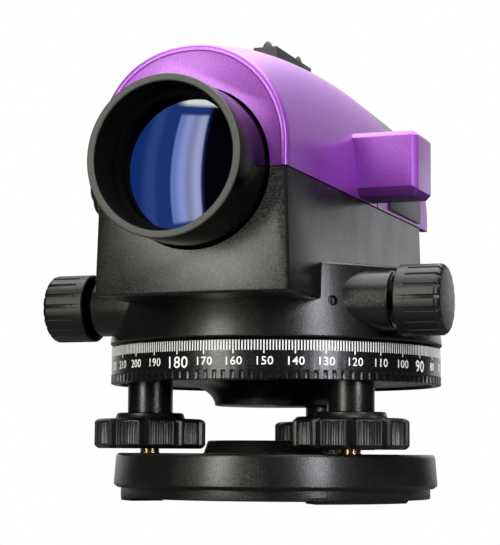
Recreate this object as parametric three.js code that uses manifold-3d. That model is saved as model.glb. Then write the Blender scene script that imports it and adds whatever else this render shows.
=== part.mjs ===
// Automatic level: a self-levelling surveying telescope on a three-screw base.
// Millimetres, +Z up. The objective looks along -Y, the eyepiece is at +Y and the bubble housing is
// on the +X side. Shapes are drawn with the vertical axis at x = y = 0 and the base resting on z = 0.
// Each finished piece is then moved by -CENTRE_Y, so that the model's box is centred on the origin.

import * as THREE from "three";
import { mergeVertices } from "three/addons/utils/BufferGeometryUtils.js";
import Module from "manifold-3d";

const wasm = await Module();
wasm.setup();

// ---- driving dimensions -------------------------------------------------------------------

const GAP = 0.3;                         // clearance between neighbouring pieces
const OVERCUT = 1;                       // how far a cutter runs past the piece that it cuts
const DETAIL = 0.42;                     // share of the nominal facets that round surfaces get

const FOOT_RADIUS = 40.4;                // pitch radius of the three foot screws
const FOOT_ANGLES = [204.3, 324.3, 84.3];
const BALL_Z = 10.4;
const BALL_R = 2.5;
const SPINDLE_R = 3.2;
const KNOB_BOTTOM = 16.2;
const KNOB_TOP = 25.6;
const KNOB_R = 17.75;

const BASE_R = 51.8;
const BASE_TOP = 14.8;
const TRIPOD_BORE_R = 7.4;

const CIRCLE_R = 53;
const CIRCLE_BOTTOM = 36.5;
const CIRCLE_TOP = 48.4;
const AXLE_R = 9;

const DRUM_R = 53.5;
const DRUM_TOP_R = 50;
const DRUM_BOTTOM = 49;
const DRUM_TOP = 71.8;

const WHEEL_TEETH = 60;
const WORM_PITCH_R = 5;
const WORM_Y = -29.45;
const WORM_Z = 60.5;
const WHEEL_PITCH_R = -WORM_Y - WORM_PITCH_R;
const WORM_LEAD = (2 * Math.PI * WHEEL_PITCH_R) / WHEEL_TEETH;

const BODY_HALF = 29;                    // half width of the telescope casting
const FOCUS_SIDE_EXTRA = 1.2;            // extra width of the casting and covers on the focusing side
const BODY_FRONT = -71.6;
const BODY_REAR = 72.4;
const BODY_BOTTOM = 60.2;
const COVER_Z = 95.6;                    // parting line between casting and cover
const SPRING_Z = 102;                    // where the cover's crown starts to curve in
const SEAM_RISE = 104;                   // top of the upright rear part of the seam between the covers
const SHELL = 2.4;
const REAR_END = 93;
const AXIS_Z = 96.6;                     // optical axis

const HOOD_R = 23.16;
const HOOD_FRONT = -92.9;
const HOOD_BORE_R = 20.9;
const LENS_R = 18.8;
const EYECUP_END = 112.4;
const CENTRE_Y = (HOOD_FRONT + EYECUP_END) / 2;

const FOCUS_Y = -16;
const FOCUS_Z = 104.5;
const PINION_PITCH_R = 3;
const PINION_TEETH = 12;
const RACK_PITCH = (2 * Math.PI * PINION_PITCH_R) / PINION_TEETH;

const GUIDE_X = 13.5;                    // focusing guide rods
const GUIDE_Z = 85.5;
const GUIDE_R = 1.5;

const BOX = { x0: 27.5, x1: 48.6, y0: -5, y1: 14, z0: 96.5, z1: 117 };

// ---- finishes: colour, roughness, metalness -------------------------------------------------

const FINISH = {
  casting: [0x2b2c2d, 0.6, 0.2],
  purple: [0x8a45b8, 0.45, 0.1],
  plastic: [0x1c1d1e, 0.5, 0],
  knob: [0x3c3e3a, 0.6, 0],
  scale: [0x161718, 0.45, 0.1],
  sight: [0x4c4c48, 0.7, 0],
  hood: [0x2a2b2a, 0.5, 0.2],
  brass: [0xc8a24a, 0.3, 1],
  steel: [0xb4b7ba, 0.3, 1],
  aluminium: [0x9fa3a6, 0.45, 1],
  glass: [0x2d4fb0, 0.05, 0],
  clear: [0xdfe9ee, 0.05, 0],
  mirror: [0xd8dcdf, 0.05, 1],
  rubber: [0x141414, 0.9, 0],
  label: [0x2f3133, 0.6, 0],
};

const group = new THREE.Group();

// ---- geometry helpers -----------------------------------------------------------------------

const radians = (degrees) => (degrees * Math.PI) / 180;
const facets = (nominal) => Math.max(8, 2 * Math.round((nominal * DETAIL) / 2));

/** A closed three.js geometry as a manifold solid whose faces point outward. */
function solid(geometry) {
  const bare = geometry.clone();
  bare.deleteAttribute("normal");
  bare.deleteAttribute("uv");
  const merged = mergeVertices(bare, 1e-4);
  const index = merged.index.array;
  const position = merged.attributes.position;
  const corners = [new THREE.Vector3(), new THREE.Vector3(), new THREE.Vector3()];
  const triangles = [];
  let volume = 0;
  for (let i = 0; i < index.length; i += 3) {
    const [a, b, c] = [index[i], index[i + 1], index[i + 2]];
    if (a === b || b === c || c === a) continue;
    triangles.push([a, b, c]);
    [a, b, c].forEach((vertex, k) => corners[k].fromBufferAttribute(position, vertex));
    volume += corners[0].dot(corners[1].clone().cross(corners[2]));
  }
  if (volume < 0) triangles.forEach((triangle) => triangle.reverse());
  return new wasm.Manifold(new wasm.Mesh({
    numProp: 3,
    vertProperties: Float32Array.from(position.array),
    triVerts: Uint32Array.from(triangles.flat()),
  }));
}

/** Turned solid about Z from [radius, z] points. */
function turned(points, segments = 48) {
  const profile = points.map(([radius, z]) => new THREE.Vector2(radius, z));
  return solid(new THREE.LatheGeometry(profile, facets(segments)).rotateX(Math.PI / 2));
}

/** Ring of rectangular section about Z. */
function ring(inner, outer, z0, z1, segments = 40) {
  return turned([[inner, z0], [outer, z0], [outer, z1], [inner, z1], [inner, z0]], segments);
}

/** Disc or post about Z. */
function post(radius, z0, z1, segments = 32) {
  return turned([[0, z0], [radius, z0], [radius, z1], [0, z1]], segments);
}

/** Turned solid about the line through (x, z) parallel to Y, from [radius, y] points. */
function turnedAlongY(points, x, z, segments = 40) {
  const profile = points.map(([radius, y]) => new THREE.Vector2(radius, y));
  return solid(new THREE.LatheGeometry(profile, facets(segments))).translate([x, 0, z]);
}

/** Turned solid about the line through (y, z) parallel to X, from [radius, x] points. */
function turnedAlongX(points, y, z, segments = 32) {
  const profile = points.map(([radius, x]) => new THREE.Vector2(radius, x));
  const lathe = new THREE.LatheGeometry(profile, facets(segments)).rotateZ(-Math.PI / 2);
  return solid(lathe).translate([0, y, z]);
}

function rodAlongY(radius, y0, y1, x, z, segments = 32) {
  return turnedAlongY([[0, y0], [radius, y0], [radius, y1], [0, y1]], x, z, segments);
}

function rodAlongX(radius, x0, x1, y, z, segments = 32) {
  return turnedAlongX([[0, x0], [radius, x0], [radius, x1], [0, x1]], y, z, segments);
}

/** Tube about a line parallel to Y. */
function tubeAlongY(inner, outer, y0, y1, x, z, segments = 40) {
  const profile = [[inner, y0], [outer, y0], [outer, y1], [inner, y1], [inner, y0]];
  return turnedAlongY(profile, x, z, segments);
}

function block(x0, x1, y0, y1, z0, z1) {
  const box = new THREE.BoxGeometry(x1 - x0, y1 - y0, z1 - z0);
  return solid(box).translate([(x0 + x1) / 2, (y0 + y1) / 2, (z0 + z1) / 2]);
}

/** Flat outline extruded by depth along its local Z. */
function extruded(outline, depth) {
  const shape = new THREE.Shape(outline.map(([a, b]) => new THREE.Vector2(a, b)));
  return new THREE.ExtrudeGeometry(shape, { depth, bevelEnabled: false });
}

function prismAlongZ(outline, z0, z1) {
  return solid(extruded(outline, z1 - z0)).translate([0, 0, z0]);
}

/** Outline of [y, z] points extruded from x0 to x1. */
function prismAlongX(outline, x0, x1) {
  const turn = new THREE.Matrix4().makeBasis(
    new THREE.Vector3(0, 1, 0),
    new THREE.Vector3(0, 0, 1),
    new THREE.Vector3(1, 0, 0),
  );
  return solid(extruded(outline, x1 - x0).applyMatrix4(turn)).translate([x0, 0, 0]);
}

/** Solid through a row of closed convex rings with equal point counts. */
function loft(rings) {
  const count = rings[0].length;
  const last = (rings.length - 1) * count;
  const triangles = [];
  for (let row = 0; row + 1 < rings.length; row += 1) {
    for (let i = 0; i < count; i += 1) {
      const a = row * count + i;
      const b = row * count + ((i + 1) % count);
      triangles.push(a, b, b + count, a, b + count, a + count);
    }
  }
  for (let i = 1; i + 1 < count; i += 1) {
    triangles.push(0, i + 1, i);
    triangles.push(last, last + i, last + i + 1);
  }
  const geometry = new THREE.BufferGeometry().setFromPoints(rings.flat());
  geometry.setIndex(triangles);
  return solid(geometry);
}

function unite(...solids) {
  return solids.reduce((sum, next) => sum.add(next));
}

function cut(blank, ...cutters) {
  return cutters.reduce((rest, cutter) => rest.subtract(cutter), blank);
}

/** Adds a solid to the model as its own named mesh with its own material. */
function piece(name, shape, [color, roughness, metalness]) {
  const { vertProperties, triVerts } = shape.getMesh();
  const geometry = new THREE.BufferGeometry();
  geometry.setAttribute("position", new THREE.BufferAttribute(Float32Array.from(vertProperties), 3));
  geometry.setIndex(Array.from(triVerts));
  geometry.translate(0, -CENTRE_Y, 0);
  geometry.computeVertexNormals();
  const material = new THREE.MeshStandardMaterial({ color, roughness, metalness });
  const mesh = new THREE.Mesh(geometry, material);
  mesh.name = name;
  group.add(mesh);
}

/** Closed outline around a circle whose radius follows repeated [turn fraction, radius] steps. */
function toothed(count, steps, phase = 0) {
  const outline = [];
  for (let tooth = 0; tooth < count; tooth += 1) {
    steps.forEach(([fraction, radius]) => {
      const angle = phase + ((tooth + fraction) * 2 * Math.PI) / count;
      outline.push([radius * Math.cos(angle), radius * Math.sin(angle)]);
    });
  }
  return outline;
}

/** Point at an angle in degrees and a distance from the vertical axis. */
const polar = (degrees, distance) => {
  const angle = radians(degrees);
  return [distance * Math.cos(angle), distance * Math.sin(angle)];
};

function atFeet(shape) {
  return FOOT_ANGLES.map((degrees) => shape.translate([...polar(degrees, FOOT_RADIUS), 0]));
}

// ---- base ------------------------------------------------------------------------------------

const BASE_BORE_R = TRIPOD_BORE_R + 3.4;
const RECESS_R = 33;                     // recess under the base for the spring plate
const RECESS_Z = 5.5;
const PAD_Z = 0.8;
const PAD_WIDTH = 30;
const SEAT_POCKET_R = 5.5;
const SEAT_POCKET_Z = 7;
const BOSS_R = 23.6;
const BOSS_TOP = 18.9;

function basePlate() {
  const lipZ = 4.3;
  const ringR = 49.5;
  const innerPadR = 39;
  const edge = 1.2;
  const plate = turned([
    [BASE_BORE_R, RECESS_Z],
    [RECESS_R, RECESS_Z],
    [RECESS_R, PAD_Z],
    [ringR, PAD_Z],
    [ringR, lipZ],
    [BASE_R, lipZ],
    [BASE_R - edge / 2, BASE_TOP - edge],
    [BASE_R - 1.5 * edge, BASE_TOP],
    [BOSS_R, BASE_TOP],
    [BOSS_R - edge, BOSS_TOP - edge],
    [BOSS_R - 2 * edge, BOSS_TOP],
    [BASE_BORE_R, BOSS_TOP],
    [BASE_BORE_R, RECESS_Z],
  ], 60);
  const padTop = PAD_Z + OVERCUT / 2;
  const pads = FOOT_ANGLES.map((degrees) => {
    const blank = block(innerPadR - OVERCUT, ringR, -PAD_WIDTH / 2, PAD_WIDTH / 2, 0, padTop);
    return blank.rotate([0, 0, degrees]).intersect(ring(innerPadR, ringR, 0, padTop, 60));
  });
  const knobRelief = atFeet(post(KNOB_R + 1.4, BASE_TOP, BOSS_TOP + OVERCUT, 36));
  const seatPockets = atFeet(post(SEAT_POCKET_R, SEAT_POCKET_Z, BOSS_TOP + OVERCUT, 28));
  return cut(unite(plate, ...pads), ...knobRelief, ...seatPockets);
}

function buildBase() {
  const insert = ring(TRIPOD_BORE_R, BASE_BORE_R - GAP, RECESS_Z - 0.5, BOSS_TOP - 0.6);
  const springZ = RECESS_Z - GAP;
  const springThickness = 1.9;
  const spring = ring(BASE_BORE_R + 0.7, RECESS_R - 1, springZ - springThickness, springZ);
  piece("base_plate", basePlate(), FINISH.casting);
  piece("tripod_thread_insert", insert, FINISH.brass);
  piece("spring_plate", spring, FINISH.steel);
}

// ---- foot screws -----------------------------------------------------------------------------

const SLEEVE_R = 7.2;                    // tribrach sleeves that the spindles screw into
const SLEEVE_BOTTOM = 26;

function footBall(radius = BALL_R) {
  return solid(new THREE.SphereGeometry(radius, 12, 8).rotateX(Math.PI / 2)).translate([0, 0, BALL_Z]);
}

function footSeat() {
  const seatR = 4.6;
  return cut(post(seatR, SEAT_POCKET_Z + GAP, BALL_Z, 24), footBall(BALL_R + GAP));
}

function footSpindle() {
  const shoulderZ = BALL_Z + 0.9;
  const shaftTop = 36.8;
  return cut(post(SPINDLE_R, shoulderZ, shaftTop, 24), footBall(BALL_R + GAP));
}

function footKnob() {
  const lobes = 10;
  const edge = 0.8;
  const collarR = 11;
  const collarTop = KNOB_TOP + 1.9;
  const grooveR = KNOB_R - 1.6;
  const lobe = [[0, grooveR], [0.15, KNOB_R], [0.85, KNOB_R]];
  const rim = prismAlongZ(toothed(lobes, lobe), KNOB_BOTTOM + edge, KNOB_TOP - edge);
  const core = turned([
    [0, KNOB_BOTTOM],
    [grooveR - edge / 2, KNOB_BOTTOM],
    [grooveR, KNOB_BOTTOM + edge],
    [grooveR, KNOB_TOP - edge],
    [grooveR - edge, KNOB_TOP],
    [collarR, KNOB_TOP],
    [collarR - edge / 2, collarTop],
    [0, collarTop],
  ], 40);
  const sleeveRecess = post(SLEEVE_R + 0.5, SLEEVE_BOTTOM - 1.8, collarTop + OVERCUT, 28);
  const bore = post(SPINDLE_R + GAP, KNOB_BOTTOM - OVERCUT, KNOB_TOP, 24);
  return cut(unite(rim, core), sleeveRecess, bore);
}

function buildFootScrews() {
  const collarZ = BALL_Z + 1.2;
  const collar = ring(SPINDLE_R + 2 * GAP, SEAT_POCKET_R - GAP, collarZ, collarZ + 2, 24);
  const parts = [
    ["foot_seat", footSeat(), FINISH.steel],
    ["foot_collar", collar, FINISH.brass],
    ["foot_ball", footBall(), FINISH.steel],
    ["footscrew_spindle", footSpindle(), FINISH.brass],
    ["footscrew_knob", footKnob(), FINISH.plastic],
  ];
  parts.forEach(([name, shape, finish]) => {
    atFeet(shape).forEach((placed, k) => piece(`${name}_${k + 1}`, placed, finish));
  });
}

// ---- tribrach, vertical axle and horizontal circle --------------------------------------------

const HUB_BOTTOM = 30;
const HUB_FLOOR = 31.7;
const HUB_TOP = 44.4;
const HUB_R = 16;
const AXLE_TOP = 64;
const SCREW_R = 4;                       // central screw that clamps the worm wheel to the axle
const WHEEL_BOTTOM = 56.9;
const WHEEL_TOP = 63.8;

function tribrach() {
  const plateR = 49.6;
  const plateBottom = 37.2;
  const plateTop = 40;
  const flankR = 19.7;                   // the hub flares from here out to the plate
  const flareR = 30;
  const rimR = { inner: 20, outer: 24 };
  const rimTop = plateTop + 1.2;
  const plate = turned([
    [0, HUB_BOTTOM],
    [flankR, HUB_BOTTOM],
    [flankR + 0.9, HUB_BOTTOM + 2.5],
    [flankR + 3.3, HUB_BOTTOM + 5],
    [flareR, plateBottom - GAP],
    [plateR, plateBottom],
    [plateR, plateTop],
    [rimR.outer, plateTop],
    [rimR.outer, rimTop],
    [rimR.inner, rimTop],
    [rimR.inner, plateTop],
    [HUB_R, plateTop],
    [HUB_R, HUB_TOP],
    [AXLE_R + GAP, HUB_TOP],
    [AXLE_R + GAP, HUB_FLOOR],
    [0, HUB_FLOOR],
  ], 60);
  const sleeves = atFeet(post(SLEEVE_R, SLEEVE_BOTTOM, plateBottom + 0.8, 28));
  const bores = atFeet(post(SPINDLE_R + GAP, SLEEVE_BOTTOM - OVERCUT, plateTop - 1.2, 24));
  return cut(unite(plate, ...sleeves), ...bores);
}

function verticalAxle() {
  const bottom = HUB_FLOOR + GAP;
  const flangeR = 21;
  const flangeZ = HUB_TOP + GAP;
  const flangeTop = flangeZ + 2;
  const boreR = SCREW_R + GAP;
  const boreFloor = AXLE_TOP - 10;
  return turned([
    [0, bottom],
    [AXLE_R, bottom],
    [AXLE_R, flangeZ],
    [flangeR, flangeZ],
    [flangeR, flangeTop],
    [AXLE_R, flangeTop],
    [AXLE_R, AXLE_TOP],
    [boreR, AXLE_TOP],
    [boreR, boreFloor],
    [0, boreFloor],
  ], 36);
}

function horizontalCircle() {
  const skirtR = 50.3;
  const web = { bottom: 41.5, top: 43.5 };
  const boreR = HUB_R + 0.4;
  const gripR = CIRCLE_R + 0.5;
  const gripTop = CIRCLE_BOTTOM + 2.8;
  return turned([
    [boreR, web.bottom],
    [skirtR, web.bottom],
    [skirtR, CIRCLE_BOTTOM],
    [gripR, CIRCLE_BOTTOM],
    [gripR, gripTop],
    [CIRCLE_R, gripTop + 0.2],
    [CIRCLE_R, CIRCLE_TOP],
    [skirtR, CIRCLE_TOP],
    [skirtR, web.top],
    [boreR, web.top],
    [boreR, web.bottom],
  ], 72);
}

const ADDENDUM = 0.8;                    // worm and wheel
const DEDENDUM = 1.1;

function wormWheel() {
  const rootR = WHEEL_PITCH_R - DEDENDUM;
  const tipR = WHEEL_PITCH_R + ADDENDUM;
  const tooth = [[-0.21, rootR], [-0.12, tipR], [0.12, tipR], [0.21, rootR]];
  const halfRim = 2.5;
  const hubR = 14;
  const rim = prismAlongZ(toothed(WHEEL_TEETH, tooth, -Math.PI / 2), WORM_Z - halfRim, WORM_Z + halfRim);
  const bore = post(AXLE_R + GAP, WHEEL_BOTTOM - OVERCUT, WHEEL_TOP + OVERCUT, 36);
  return cut(unite(rim, post(hubR, WHEEL_BOTTOM, WHEEL_TOP, 36)), bore);
}

function clutchScrew() {
  const tip = AXLE_TOP - 9.4;
  const headZ = AXLE_TOP + 2;
  const headTop = headZ + 2.8;
  const headR = 7.5;
  const edge = 0.6;
  return turned([
    [0, tip],
    [SCREW_R, tip],
    [SCREW_R, headZ],
    [headR, headZ],
    [headR, headTop - edge],
    [headR - edge, headTop],
    [0, headTop],
  ], 28);
}

function buildAxisStack() {
  piece("tribrach", tribrach(), FINISH.casting);
  piece("vertical_axle", verticalAxle(), FINISH.steel);
  piece("horizontal_circle", horizontalCircle(), FINISH.scale);
  piece("worm_wheel", wormWheel(), FINISH.brass);
  piece("clutch_washer", ring(SCREW_R + 0.6, 13, AXLE_TOP + GAP, AXLE_TOP + 1.6, 32), FINISH.steel);
  piece("clutch_screw", clutchScrew(), FINISH.steel);
}

// ---- casting that carries the telescope -------------------------------------------------------

const BOSS_END = 48.5;
const BUSH_R = 6;
const DRUM_BORE_R = 46.5;
const PLATE_R = 49;
const HOOD_SOCKET_R = HOOD_R + 0.5;
const EYE_SOCKET_R = 12;
const BUSH_SOCKET_R = 5.3;
const WEB_FRONT = -57;
const SLEEVE_OUTER_R = 14;

function drumBlank() {
  const edge = 1;
  return turned([
    [0, DRUM_BOTTOM],
    [DRUM_R, DRUM_BOTTOM],
    [DRUM_R, DRUM_BOTTOM + edge],
    [DRUM_TOP_R + edge, DRUM_TOP - edge],
    [DRUM_TOP_R, DRUM_TOP],
    [0, DRUM_TOP],
  ], 72);
}

function telescopeBlank() {
  const lowHalf = BODY_HALF + 0.6;
  const topHalf = BODY_HALF - 0.4;
  const chamfer = 1.4;
  const section = (y) => [
    [-lowHalf - FOCUS_SIDE_EXTRA + chamfer, BODY_BOTTOM],
    [lowHalf - chamfer, BODY_BOTTOM],
    [lowHalf, BODY_BOTTOM + chamfer],
    [topHalf, COVER_Z],
    [-topHalf - FOCUS_SIDE_EXTRA, COVER_Z],
    [-lowHalf - FOCUS_SIDE_EXTRA, BODY_BOTTOM + chamfer],
  ].map(([x, z]) => new THREE.Vector3(x, y, z));
  return loft([section(BODY_FRONT + 0.8), section(BODY_REAR)]);
}

/** Upright web behind the objective; it carries the front ends of the focusing guide rods. */
function guideWeb(floorZ) {
  const front = WEB_FRONT;
  const rear = front + 3;
  const web = block(-BODY_HALF + 2, BODY_HALF - 2, front, rear, floorZ - 2, COVER_Z - 2);
  const lightHole = rodAlongY(14, front - OVERCUT, rear + OVERCUT, 0, AXIS_Z, 32);
  return cut(web, lightHole, ...guideHoles(front - OVERCUT, rear + OVERCUT));
}

function guideHoles(y0, y1) {
  return [-1, 1].map((side) => rodAlongY(GUIDE_R + GAP, y0, y1, side * GUIDE_X, GUIDE_Z, 16));
}

function adjusterHole() {
  const azimuth = -51.2;
  const z = 60;
  const depth = 4;
  const hole = rodAlongX(1.6, -depth, depth, 0, 0, 16).rotate([0, 0, azimuth]);
  return hole.translate([...polar(azimuth, DRUM_TOP_R), z]);
}

function mainHousing() {
  const wall = 3.5;
  const ceiling = DRUM_TOP - 2.2;
  const floorZ = DRUM_TOP + 1.2;
  const noseFloor = BODY_BOTTOM + 3.8;
  const innerHalf = BODY_HALF - wall;
  const innerFront = BODY_FRONT + 5;
  const plateTop = DRUM_BOTTOM + 3.7;
  const bossR = 9;
  const bosses = rodAlongX(bossR, -BOSS_END, BOSS_END, WORM_Y, WORM_Z, 32);
  const hollow = cut(
    unite(drumBlank(), telescopeBlank(), bosses),
    post(DRUM_BORE_R, DRUM_BOTTOM - OVERCUT, ceiling, 60),
    post(PLATE_R + GAP, DRUM_BOTTOM - OVERCUT, plateTop, 60),
    block(-innerHalf, innerHalf, innerFront, BODY_REAR - wall, floorZ, COVER_Z + OVERCUT),
    block(-innerHalf, innerHalf, innerFront, WEB_FRONT, noseFloor, floorZ + OVERCUT),
    rodAlongY(HOOD_SOCKET_R, BODY_FRONT - 3, BODY_FRONT + 8, 0, AXIS_Z, 48),
    rodAlongY(EYE_SOCKET_R, BODY_REAR - 6, BODY_REAR + 6, 0, AXIS_Z, 32),
    rodAlongX(BUSH_R + GAP, -BOSS_END - OVERCUT, BOSS_END + OVERCUT, WORM_Y, WORM_Z, 28),
    adjusterHole(),
  );
  return unite(hollow, guideWeb(floorZ));
}

function bearingPlate() {
  const boreR = SLEEVE_OUTER_R + GAP;
  const bottom = DRUM_BOTTOM + 0.4;
  const top = bottom + 3;
  const rimR = 18;
  const rimTop = top + 2;
  return turned([
    [boreR, bottom],
    [PLATE_R, bottom],
    [PLATE_R, top],
    [rimR, top],
    [rimR, rimTop],
    [boreR, rimTop],
    [boreR, bottom],
  ], 60);
}

function buildCasting() {
  const sleeve = ring(AXLE_R + GAP, SLEEVE_OUTER_R, DRUM_BOTTOM - 1.5, WHEEL_BOTTOM - 0.5, 36);
  piece("main_housing", mainHousing(), FINISH.casting);
  piece("bearing_plate", bearingPlate(), FINISH.aluminium);
  piece("bearing_sleeve", sleeve, FINISH.brass);
}

// ---- horizontal tangent drive -------------------------------------------------------------------

const SHAFT_R = 2.9;
const SHAFT_END = 62;

function wormShaft() {
  const rootR = WORM_PITCH_R - DEDENDUM;
  const tipR = WORM_PITCH_R + ADDENDUM;
  const sunkR = rootR - 0.4;
  const turns = 5;
  const steps = 10;
  const thread = [[-0.5, sunkR], [0.5, sunkR], [0.28, tipR], [-0.28, tipR]];
  const rings = [];
  for (let i = 0; i <= turns * steps; i += 1) {
    const angle = (i * 2 * Math.PI) / steps;
    const x = (i / steps - turns / 2) * WORM_LEAD;
    rings.push(thread.map(([dx, radius]) => new THREE.Vector3(
      x + dx,
      WORM_Y + radius * Math.cos(angle),
      WORM_Z + radius * Math.sin(angle),
    )));
  }
  const halfCore = (turns * WORM_LEAD) / 2 + 1.5;
  const shaft = rodAlongX(SHAFT_R, -SHAFT_END, SHAFT_END, WORM_Y, WORM_Z, 24);
  const core = rodAlongX(rootR, -halfCore, halfCore, WORM_Y, WORM_Z, 24);
  return unite(shaft, core, loft(rings));
}

/** Knob on the worm shaft; side is +1 for the +X end and -1 for the -X end. */
function tangentKnob(side) {
  const inner = BOSS_END + 1.5;
  const collarEnd = inner + 2.3;
  const collarR = 8.4;
  const outer = 64.9;
  const gripEnd = outer - 1;
  const radius = 10.67;
  const fluteDepth = 0.7;
  const coreR = radius - fluteDepth - 0.07;
  const faceR = 9;
  const boreR = SHAFT_R + GAP;
  const flute = [[0.12, radius - fluteDepth], [0.2, radius], [0.8, radius], [0.88, radius - fluteDepth]];
  const grip = prismAlongX(toothed(18, flute), collarEnd, gripEnd).translate([0, WORM_Y, WORM_Z]);
  const core = turnedAlongX([
    [0, inner],
    [collarR, inner],
    [collarR, collarEnd],
    [coreR, collarEnd],
    [coreR, gripEnd],
    [faceR, outer - 0.2],
    [0, outer],
  ], WORM_Y, WORM_Z, 36);
  const bore = rodAlongX(boreR, inner - OVERCUT, SHAFT_END + GAP, WORM_Y, WORM_Z, 24);
  const knob = cut(unite(grip, core), bore);
  return side > 0 ? knob : knob.mirror([1, 0, 0]);
}

function tangentBush(side) {
  const inner = 36.3;
  const outer = BOSS_END - GAP;
  const boreR = SHAFT_R + GAP;
  const profile = [[boreR, inner], [BUSH_R, inner], [BUSH_R, outer], [boreR, outer], [boreR, inner]];
  const bush = turnedAlongX(profile, WORM_Y, WORM_Z, 28);
  return side > 0 ? bush : bush.mirror([1, 0, 0]);
}

function buildTangentDrive() {
  piece("worm_shaft", wormShaft(), FINISH.steel);
  [["left", 1], ["right", -1]].forEach(([label, side]) => {
    piece(`tangent_knob_${label}`, tangentKnob(side), FINISH.knob);
    piece(`tangent_bush_${label}`, tangentBush(side), FINISH.brass);
  });
}

// ---- covers --------------------------------------------------------------------------------------

const NARROW_Y = 82;                     // the covers are narrower behind this

/** Height of the cover's ridge at y. */
function ridge(y) {
  const stations = [
    [BODY_FRONT, 132.6],
    [-40, 138.6],
    [-5, 142.1],
    [30, 143.1],
    [65, 141.9],
    [REAR_END, 140.4],
  ];
  const curve = new THREE.SplineCurve(stations.map(([a, b]) => new THREE.Vector2(a, b)));
  let low = 0;
  let high = 1;
  for (let i = 0; i < 30; i += 1) {
    const middle = (low + high) / 2;
    if (curve.getPoint(middle).x < y) low = middle;
    else high = middle;
  }
  return curve.getPoint((low + high) / 2).y;
}

/** Half width of the covers at y; they narrow behind NARROW_Y. */
function halfWidthAt(y) {
  const narrowing = 4;
  const share = Math.max(0, (y - NARROW_Y) / (REAR_END - NARROW_Y));
  return BODY_HALF - narrowing * share;
}

/** Section of the arched roof at y: elliptical, with a wider and fuller shoulder on the focusing side. */
function archSection(y, inset, bottom) {
  const steps = 14;
  const fullness = 2.2;
  const rightHalf = halfWidthAt(y) - inset;
  const leftHalf = rightHalf + FOCUS_SIDE_EXTRA;
  const rise = ridge(y) - inset - SPRING_Z;
  const section = [new THREE.Vector3(rightHalf, y, bottom)];
  for (let i = 0; i <= steps; i += 1) {
    const across = Math.cos((i * Math.PI) / steps);
    const up = Math.sin((i * Math.PI) / steps);
    const power = across < 0 ? 2 / fullness : 1;
    const x = across < 0 ? -leftHalf * (-across) ** power : rightHalf * across;
    section.push(new THREE.Vector3(x, y, SPRING_Z + rise * Math.max(up, 0) ** power));
  }
  section.push(new THREE.Vector3(-leftHalf, y, bottom));
  return section;
}

/** Solid under the arched roof, offset inward by inset and standing on z = bottom. */
function arch(y0, y1, inset, bottom) {
  const rows = 7;
  const rings = [];
  for (let row = 0; row <= rows; row += 1) {
    rings.push(archSection(y0 + ((NARROW_Y - y0) * row) / rows, inset, bottom));
  }
  rings.push(archSection(y1, inset, bottom));
  return loft(rings);
}

/** Region in front of the seam between the two covers, moved back by shift. */
function frontOfSeam(shift) {
  const seam = [[82.5, SEAM_RISE], [52, 128.5], [41, 134.3], [28, 136.2], [14, 139.2], [-4, 146]];
  const reach = { front: -90, bottom: 80, top: 170, side: 60 };
  const outline = [[reach.front, reach.bottom], [seam[0][0] + shift, reach.bottom]];
  seam.forEach(([y, z]) => outline.push([y + shift, z + shift]));
  outline.push([reach.front, reach.top]);
  return prismAlongX(outline, -reach.side, reach.side);
}

/** The room under both covers. */
function coverCavity() {
  return arch(BODY_FRONT + SHELL, REAR_END - SHELL, SHELL, COVER_Z - 5);
}

function coverShell() {
  return cut(arch(BODY_FRONT, REAR_END, 0, COVER_Z + GAP), coverCavity());
}

function bubbleBox() {
  const bevel = 1.6;
  const { x0, x1, y0, y1, z0, z1 } = BOX;
  const undercut = 2.6;
  const section = (y, shrink, lift) => [
    [x0, z0 + lift],
    [x1 - bevel, z0 + lift],
    [x1 - shrink, z0 + Math.max(lift, bevel)],
    [x1 - shrink, z1 - bevel],
    [x1 - bevel, z1 - shrink],
    [x0, z1 - shrink],
  ].map(([x, z]) => new THREE.Vector3(x, y, z));
  return loft([
    section(y0, bevel, undercut),
    section(y0 + bevel, 0, undercut - bevel),
    section(y0 + undercut, 0, 0),
    section(y1 - bevel, 0, 0),
    section(y1, bevel, bevel),
  ]);
}

function topCover() {
  const front = coverShell().intersect(frontOfSeam(0));
  const focusBoss = rodAlongX(8, -33, -25, FOCUS_Y, FOCUS_Z, 28).subtract(coverCavity());
  const { x0, x1, y0, y1, z0, z1 } = BOX;
  const wall = 2;
  const boxHollow = block(x0 + 3.1, x1 - wall, y0 + wall, y1 - wall, z0 + wall, z1 - wall);
  const boxWindow = block(x0 + 5.5, x1 - 4.6, y1 - 3, y1 + 6, z0 + 7.5, z1 - 3);
  return cut(
    unite(front, bubbleBox(), focusBoss),
    boxHollow,
    boxWindow,
    coverCavity(),
    rodAlongX(BUSH_SOCKET_R, -40, -20, FOCUS_Y, FOCUS_Z, 24),
    rodAlongY(HOOD_SOCKET_R, BODY_FRONT - 3, BODY_FRONT + 8, 0, AXIS_Z, 48),
  );
}

/** Narrow lower part of the rear cover, with its own walls and floor. */
function rearChin() {
  const half = 22;
  const bottom = 80;
  const inner = half - SHELL;
  return cut(
    block(-half, half, BODY_REAR + GAP, REAR_END, bottom, SEAM_RISE),
    block(-inner, inner, BODY_REAR - OVERCUT, REAR_END - SHELL, bottom + SHELL, SEAM_RISE + OVERCUT),
  );
}

function rearCover() {
  const shell = cut(coverShell(), frontOfSeam(GAP));
  const eyeBoss = rodAlongY(14, REAR_END - SHELL, REAR_END + 4, 0, AXIS_Z, 36);
  const sleeveHole = rodAlongY(11.8, REAR_END - 8, REAR_END + 8, 0, AXIS_Z, 32);
  return cut(unite(shell, rearChin(), eyeBoss), sleeveHole);
}

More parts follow.
